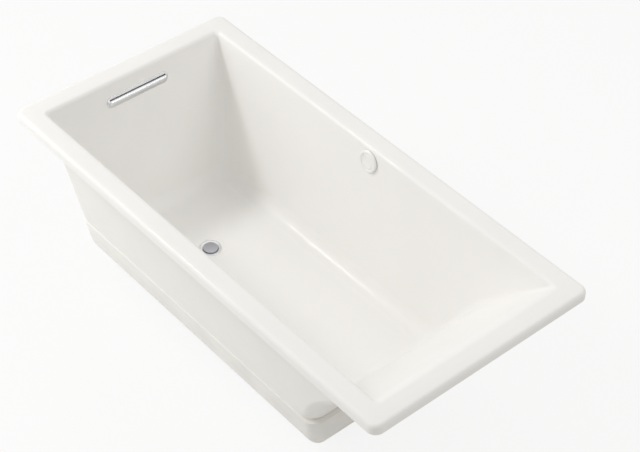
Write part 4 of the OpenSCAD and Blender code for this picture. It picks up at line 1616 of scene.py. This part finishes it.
@dataclass(frozen=True)
class Heater(Assembly):
    """The warming mat, the control box and the leads between."""

    lead: float = 3.0
    lead_sides: int = 20
    span_steps: int = 8
    box_start: float = 130.0
    box_length: float = 160.0
    lead_y: float = 367.5
    lead_z: float = 462.0
    can_y: float = 373.45
    clip_y: float = 359.5
    clip_z: float = 496.0
    clips: tuple[float, ...] = (630.0, 560.0, 490.0, 420.0)
    fit: float = 0.15

    def button_route(self) -> list[list[float]]:
        """The way of the button's lead to the box.

        Returns:
            The points that it passes through.
        """
        return [
            [-7.0, self.can_y + 0.5, 504.0],
            [-7.0, self.can_y + 8.5, 503.0],
            [0.0, self.can_y + 14.5, 495.0],
            [22.0, self.can_y + 13, 478.0],
            [60.0, self.lead_y + 3, self.lead_z + 8],
            [100.0, self.lead_y, self.lead_z],
            [self.box_start - 14, self.lead_y, self.lead_z],
            [self.box_start - self.fit, self.lead_y, self.lead_z],
        ]

    def heater_route(self) -> list[list[float]]:
        """The way of the mat's lead to the box.

        Returns:
            The points that it passes through.
        """
        end = self.box_start + self.box_length
        return [
            [726.0, 170.5, 490.0],
            [726.0, 210.0, 490.0],
            [726.0, 247.5, 490.0],
            [724.0, 292.5, 489.0],
            [718.0, 332.5, 498.0],
            [690.0, self.clip_y - 9, self.clip_z],
            *([x, self.clip_y, self.clip_z] for x in self.clips),
            [385.0, self.clip_y + 1, self.clip_z - 3],
            [350.0, self.lead_y - 2, self.lead_z + 7],
            [end + 32, self.lead_y, self.lead_z],
            [end + 16, self.lead_y, self.lead_z],
            [end + self.fit, self.lead_y, self.lead_z],
        ]

    def build(self) -> None:
        """Makes the leads and dresses the mat and the box."""
        for name, route, up, node in (
            ("lead_from_button", self.button_route(), (0.2, 0.3, 1.0), "button_lead"),
            ("lead_from_mat", self.heater_route(), (0.0, 0.0, 1.0), "heater_lead"),
        ):
            rings = tube(smooth_path(route, self.span_steps), self.lead, self.lead_sides, up)
            add_piece(name, mesh_of(name, rings), Slot.LEAD_SHEATH, nodes=[node])
        for name, node, edge, slot in (
            ("warming_mat", "heater_mat", 0.8, Slot.HEATING_FILM),
            ("mat_terminal", "heater_terminal", 1.5, Slot.CASE_PLASTIC),
            ("lead_saddles", "lead_clips", 0.8, Slot.PIPE_PLASTIC),
            ("box_case", "unit_case", 1.2, Slot.CASE_PLASTIC),
            ("box_cover", "unit_cover", 0.8, Slot.CASE_PLASTIC),
            ("box_bracket", "unit_bracket", 0.4, Slot.STEEL),
        ):
            soften(name, node, edge, slot)
        dress(Slot.CIRCUIT_BOARD, "unit_board")
        dress(Slot.STEEL, "unit_screws")
        dress(Slot.SEAL_RUBBER, "mains_gland")


# Studio


@dataclass(frozen=True)
class Viewpoint(Assembly):
    """The camera, solved from the photograph's edges, in millimetres, radians and pixels."""

    azimuth: float = 0.8439
    elevation: float = 0.7493
    roll: float = 0.0289
    focal: float = 1753.0
    across: float = 100.44
    upward: float = 319.21
    distance: float = 5547.35
    centre: tuple[float, float] = (317.74, 225.92)
    sensor: float = 36.0
    clip: tuple[float, float] = (0.1, 60.0)

    def axes(self) -> tuple[Vector, Vector, Vector]:
        """The camera's directions: back from its bearing, right level, both turned by the roll.

        Returns:
            Its right, up and back directions.
        """
        a, e = self.azimuth, self.elevation
        back = Vector((math.sin(a) * math.cos(e), -math.cos(a) * math.cos(e), math.sin(e)))
        right = Vector((math.cos(a), math.sin(a), 0.0))
        up = back.cross(right)
        c, s = math.cos(self.roll), math.sin(self.roll)
        return c * right + s * up, c * up - s * right, back

    def build(self) -> None:
        """Makes the scene's camera."""
        right, up, back = self.axes()
        data = bpy.data.cameras.new("view")
        data.sensor_fit = "HORIZONTAL"
        data.sensor_width = self.sensor
        data.lens = self.focal / PHOTO_WIDTH * self.sensor
        data.shift_x = (PHOTO_WIDTH / 2 - self.centre[0]) / PHOTO_WIDTH
        data.shift_y = (self.centre[1] - PHOTO_HEIGHT / 2) / PHOTO_WIDTH
        data.clip_start, data.clip_end = self.clip
        camera = place_in_scene("view", data)
        turn = Matrix((right, up, back)).transposed().to_4x4()
        spot = (right * self.across + up * self.upward + back * self.distance) * MM
        camera.matrix_world = Matrix.Translation(spot) @ turn
        bpy.context.scene.camera = camera


@dataclass(frozen=True)
class Lamp:
    """One soft lamp: a round panel that faces the bath, in metres and watts."""

    name: str
    direction: Point
    distance: float
    size: float
    strength: float

    def build(self, aim: Vector) -> None:
        """Hangs the lamp at its distance from the aim and turns it to it.

        Args:
            aim: The point that it lights.
        """
        data = bpy.data.lights.new(self.name, "AREA")
        data.shape = "DISK"
        data.size = self.size
        data.energy = self.strength
        lamp = place_in_scene(self.name, data)
        towards = Vector(self.direction).normalized()
        lamp.location = aim + towards * self.distance
        lamp.rotation_euler = towards.to_track_quat("Z", "Y").to_euler()


@dataclass(frozen=True)
class Studio(Assembly):
    """The floor, the sky and the lamps."""

    sky: float = 0.545
    sky_colour: Colour = (1.0, 0.985, 0.95)
    white: Colour = (1.0, 1.0, 1.0)
    floor_size: float = 40.0
    floor_glow: float = 0.85
    floor_colour: Colour = (0.86, 0.86, 0.85)
    aim: Point = (-0.1, 0.0, 0.25)
    lamps: tuple[Lamp, ...] = (
        Lamp("key_left", (-0.55, -0.40, 0.733), 6.0, 0.9, 45.6),
        Lamp("key_right", (-0.55, -0.49, 0.676), 6.0, 0.9, 45.6),
        Lamp("low_panel", (-0.641, -0.641, 0.423), 3.5, 2.0, 20.5),
        Lamp("back_panel", (0.406, 0.406, 0.819), 3.5, 2.0, 17.3),
    )

    def build(self) -> None:
        """Makes the stage around the bath."""
        bpy.context.scene.view_settings.view_transform = "Standard"
        self.build_sky()
        self.build_floor()
        for lamp in self.lamps:
            lamp.build(Vector(self.aim))

    def build_sky(self) -> None:
        """Makes a soft sky that lights the bath and otherwise shows as white."""
        world = bpy.data.worlds.new("sky")
        bpy.context.scene.world = world
        sheet = NodeSheet(world)
        lit, shown = (
            sheet.node("ShaderNodeBackground", inputs={"Color": (*colour, 1.0), "Strength": power})
            for colour, power in ((self.sky_colour, self.sky), (self.white, 1.0))
        )
        mixed = sheet.node("ShaderNodeMixShader", inputs={0: sheet.seen(), 1: lit, 2: shown})
        sheet.finish("ShaderNodeOutputWorld", mixed)

    def build_floor(self) -> None:
        """Lays a pale floor that keeps the bath's shadow and otherwise shows as white."""
        half = self.floor_size / 2
        mesh = bpy.data.meshes.new("floor")
        corners = [(-half, -half, 0), (half, -half, 0), (half, half, 0), (-half, half, 0)]
        mesh.from_pydata(corners, [], [(0, 1, 2, 3)])
        material = bpy.data.materials.new("floor_paint")
        sheet = NodeSheet(material)
        matt = sheet.node("ShaderNodeBsdfDiffuse", inputs={"Color": (*self.floor_colour, 1.0)})
        glow = sheet.node("ShaderNodeEmission", inputs={"Strength": 1.0})
        factor = sheet.seen() * self.floor_glow
        mixed = sheet.node("ShaderNodeMixShader", inputs={0: factor, 1: matt, 2: glow})
        sheet.finish("ShaderNodeOutputMaterial", mixed)
        mesh.materials.append(material)
        floor = place_in_scene("floor", mesh)


def main() -> None:
    """Builds the bath and its studio."""
    logging.basicConfig(level=logging.INFO, format="%(name)s %(message)s")
    overflow, button, waste = Overflow(), PushButton(), Waste()
    tub, base = Tub(overflow, button, waste), Base(waste)
    for part in (Viewpoint(), tub, base, Rails(), waste, overflow, button, Heater(), Studio()):
        LOG.info("building %s", type(part).__name__)
        part.build()


if __name__ == "__main__":
    main()
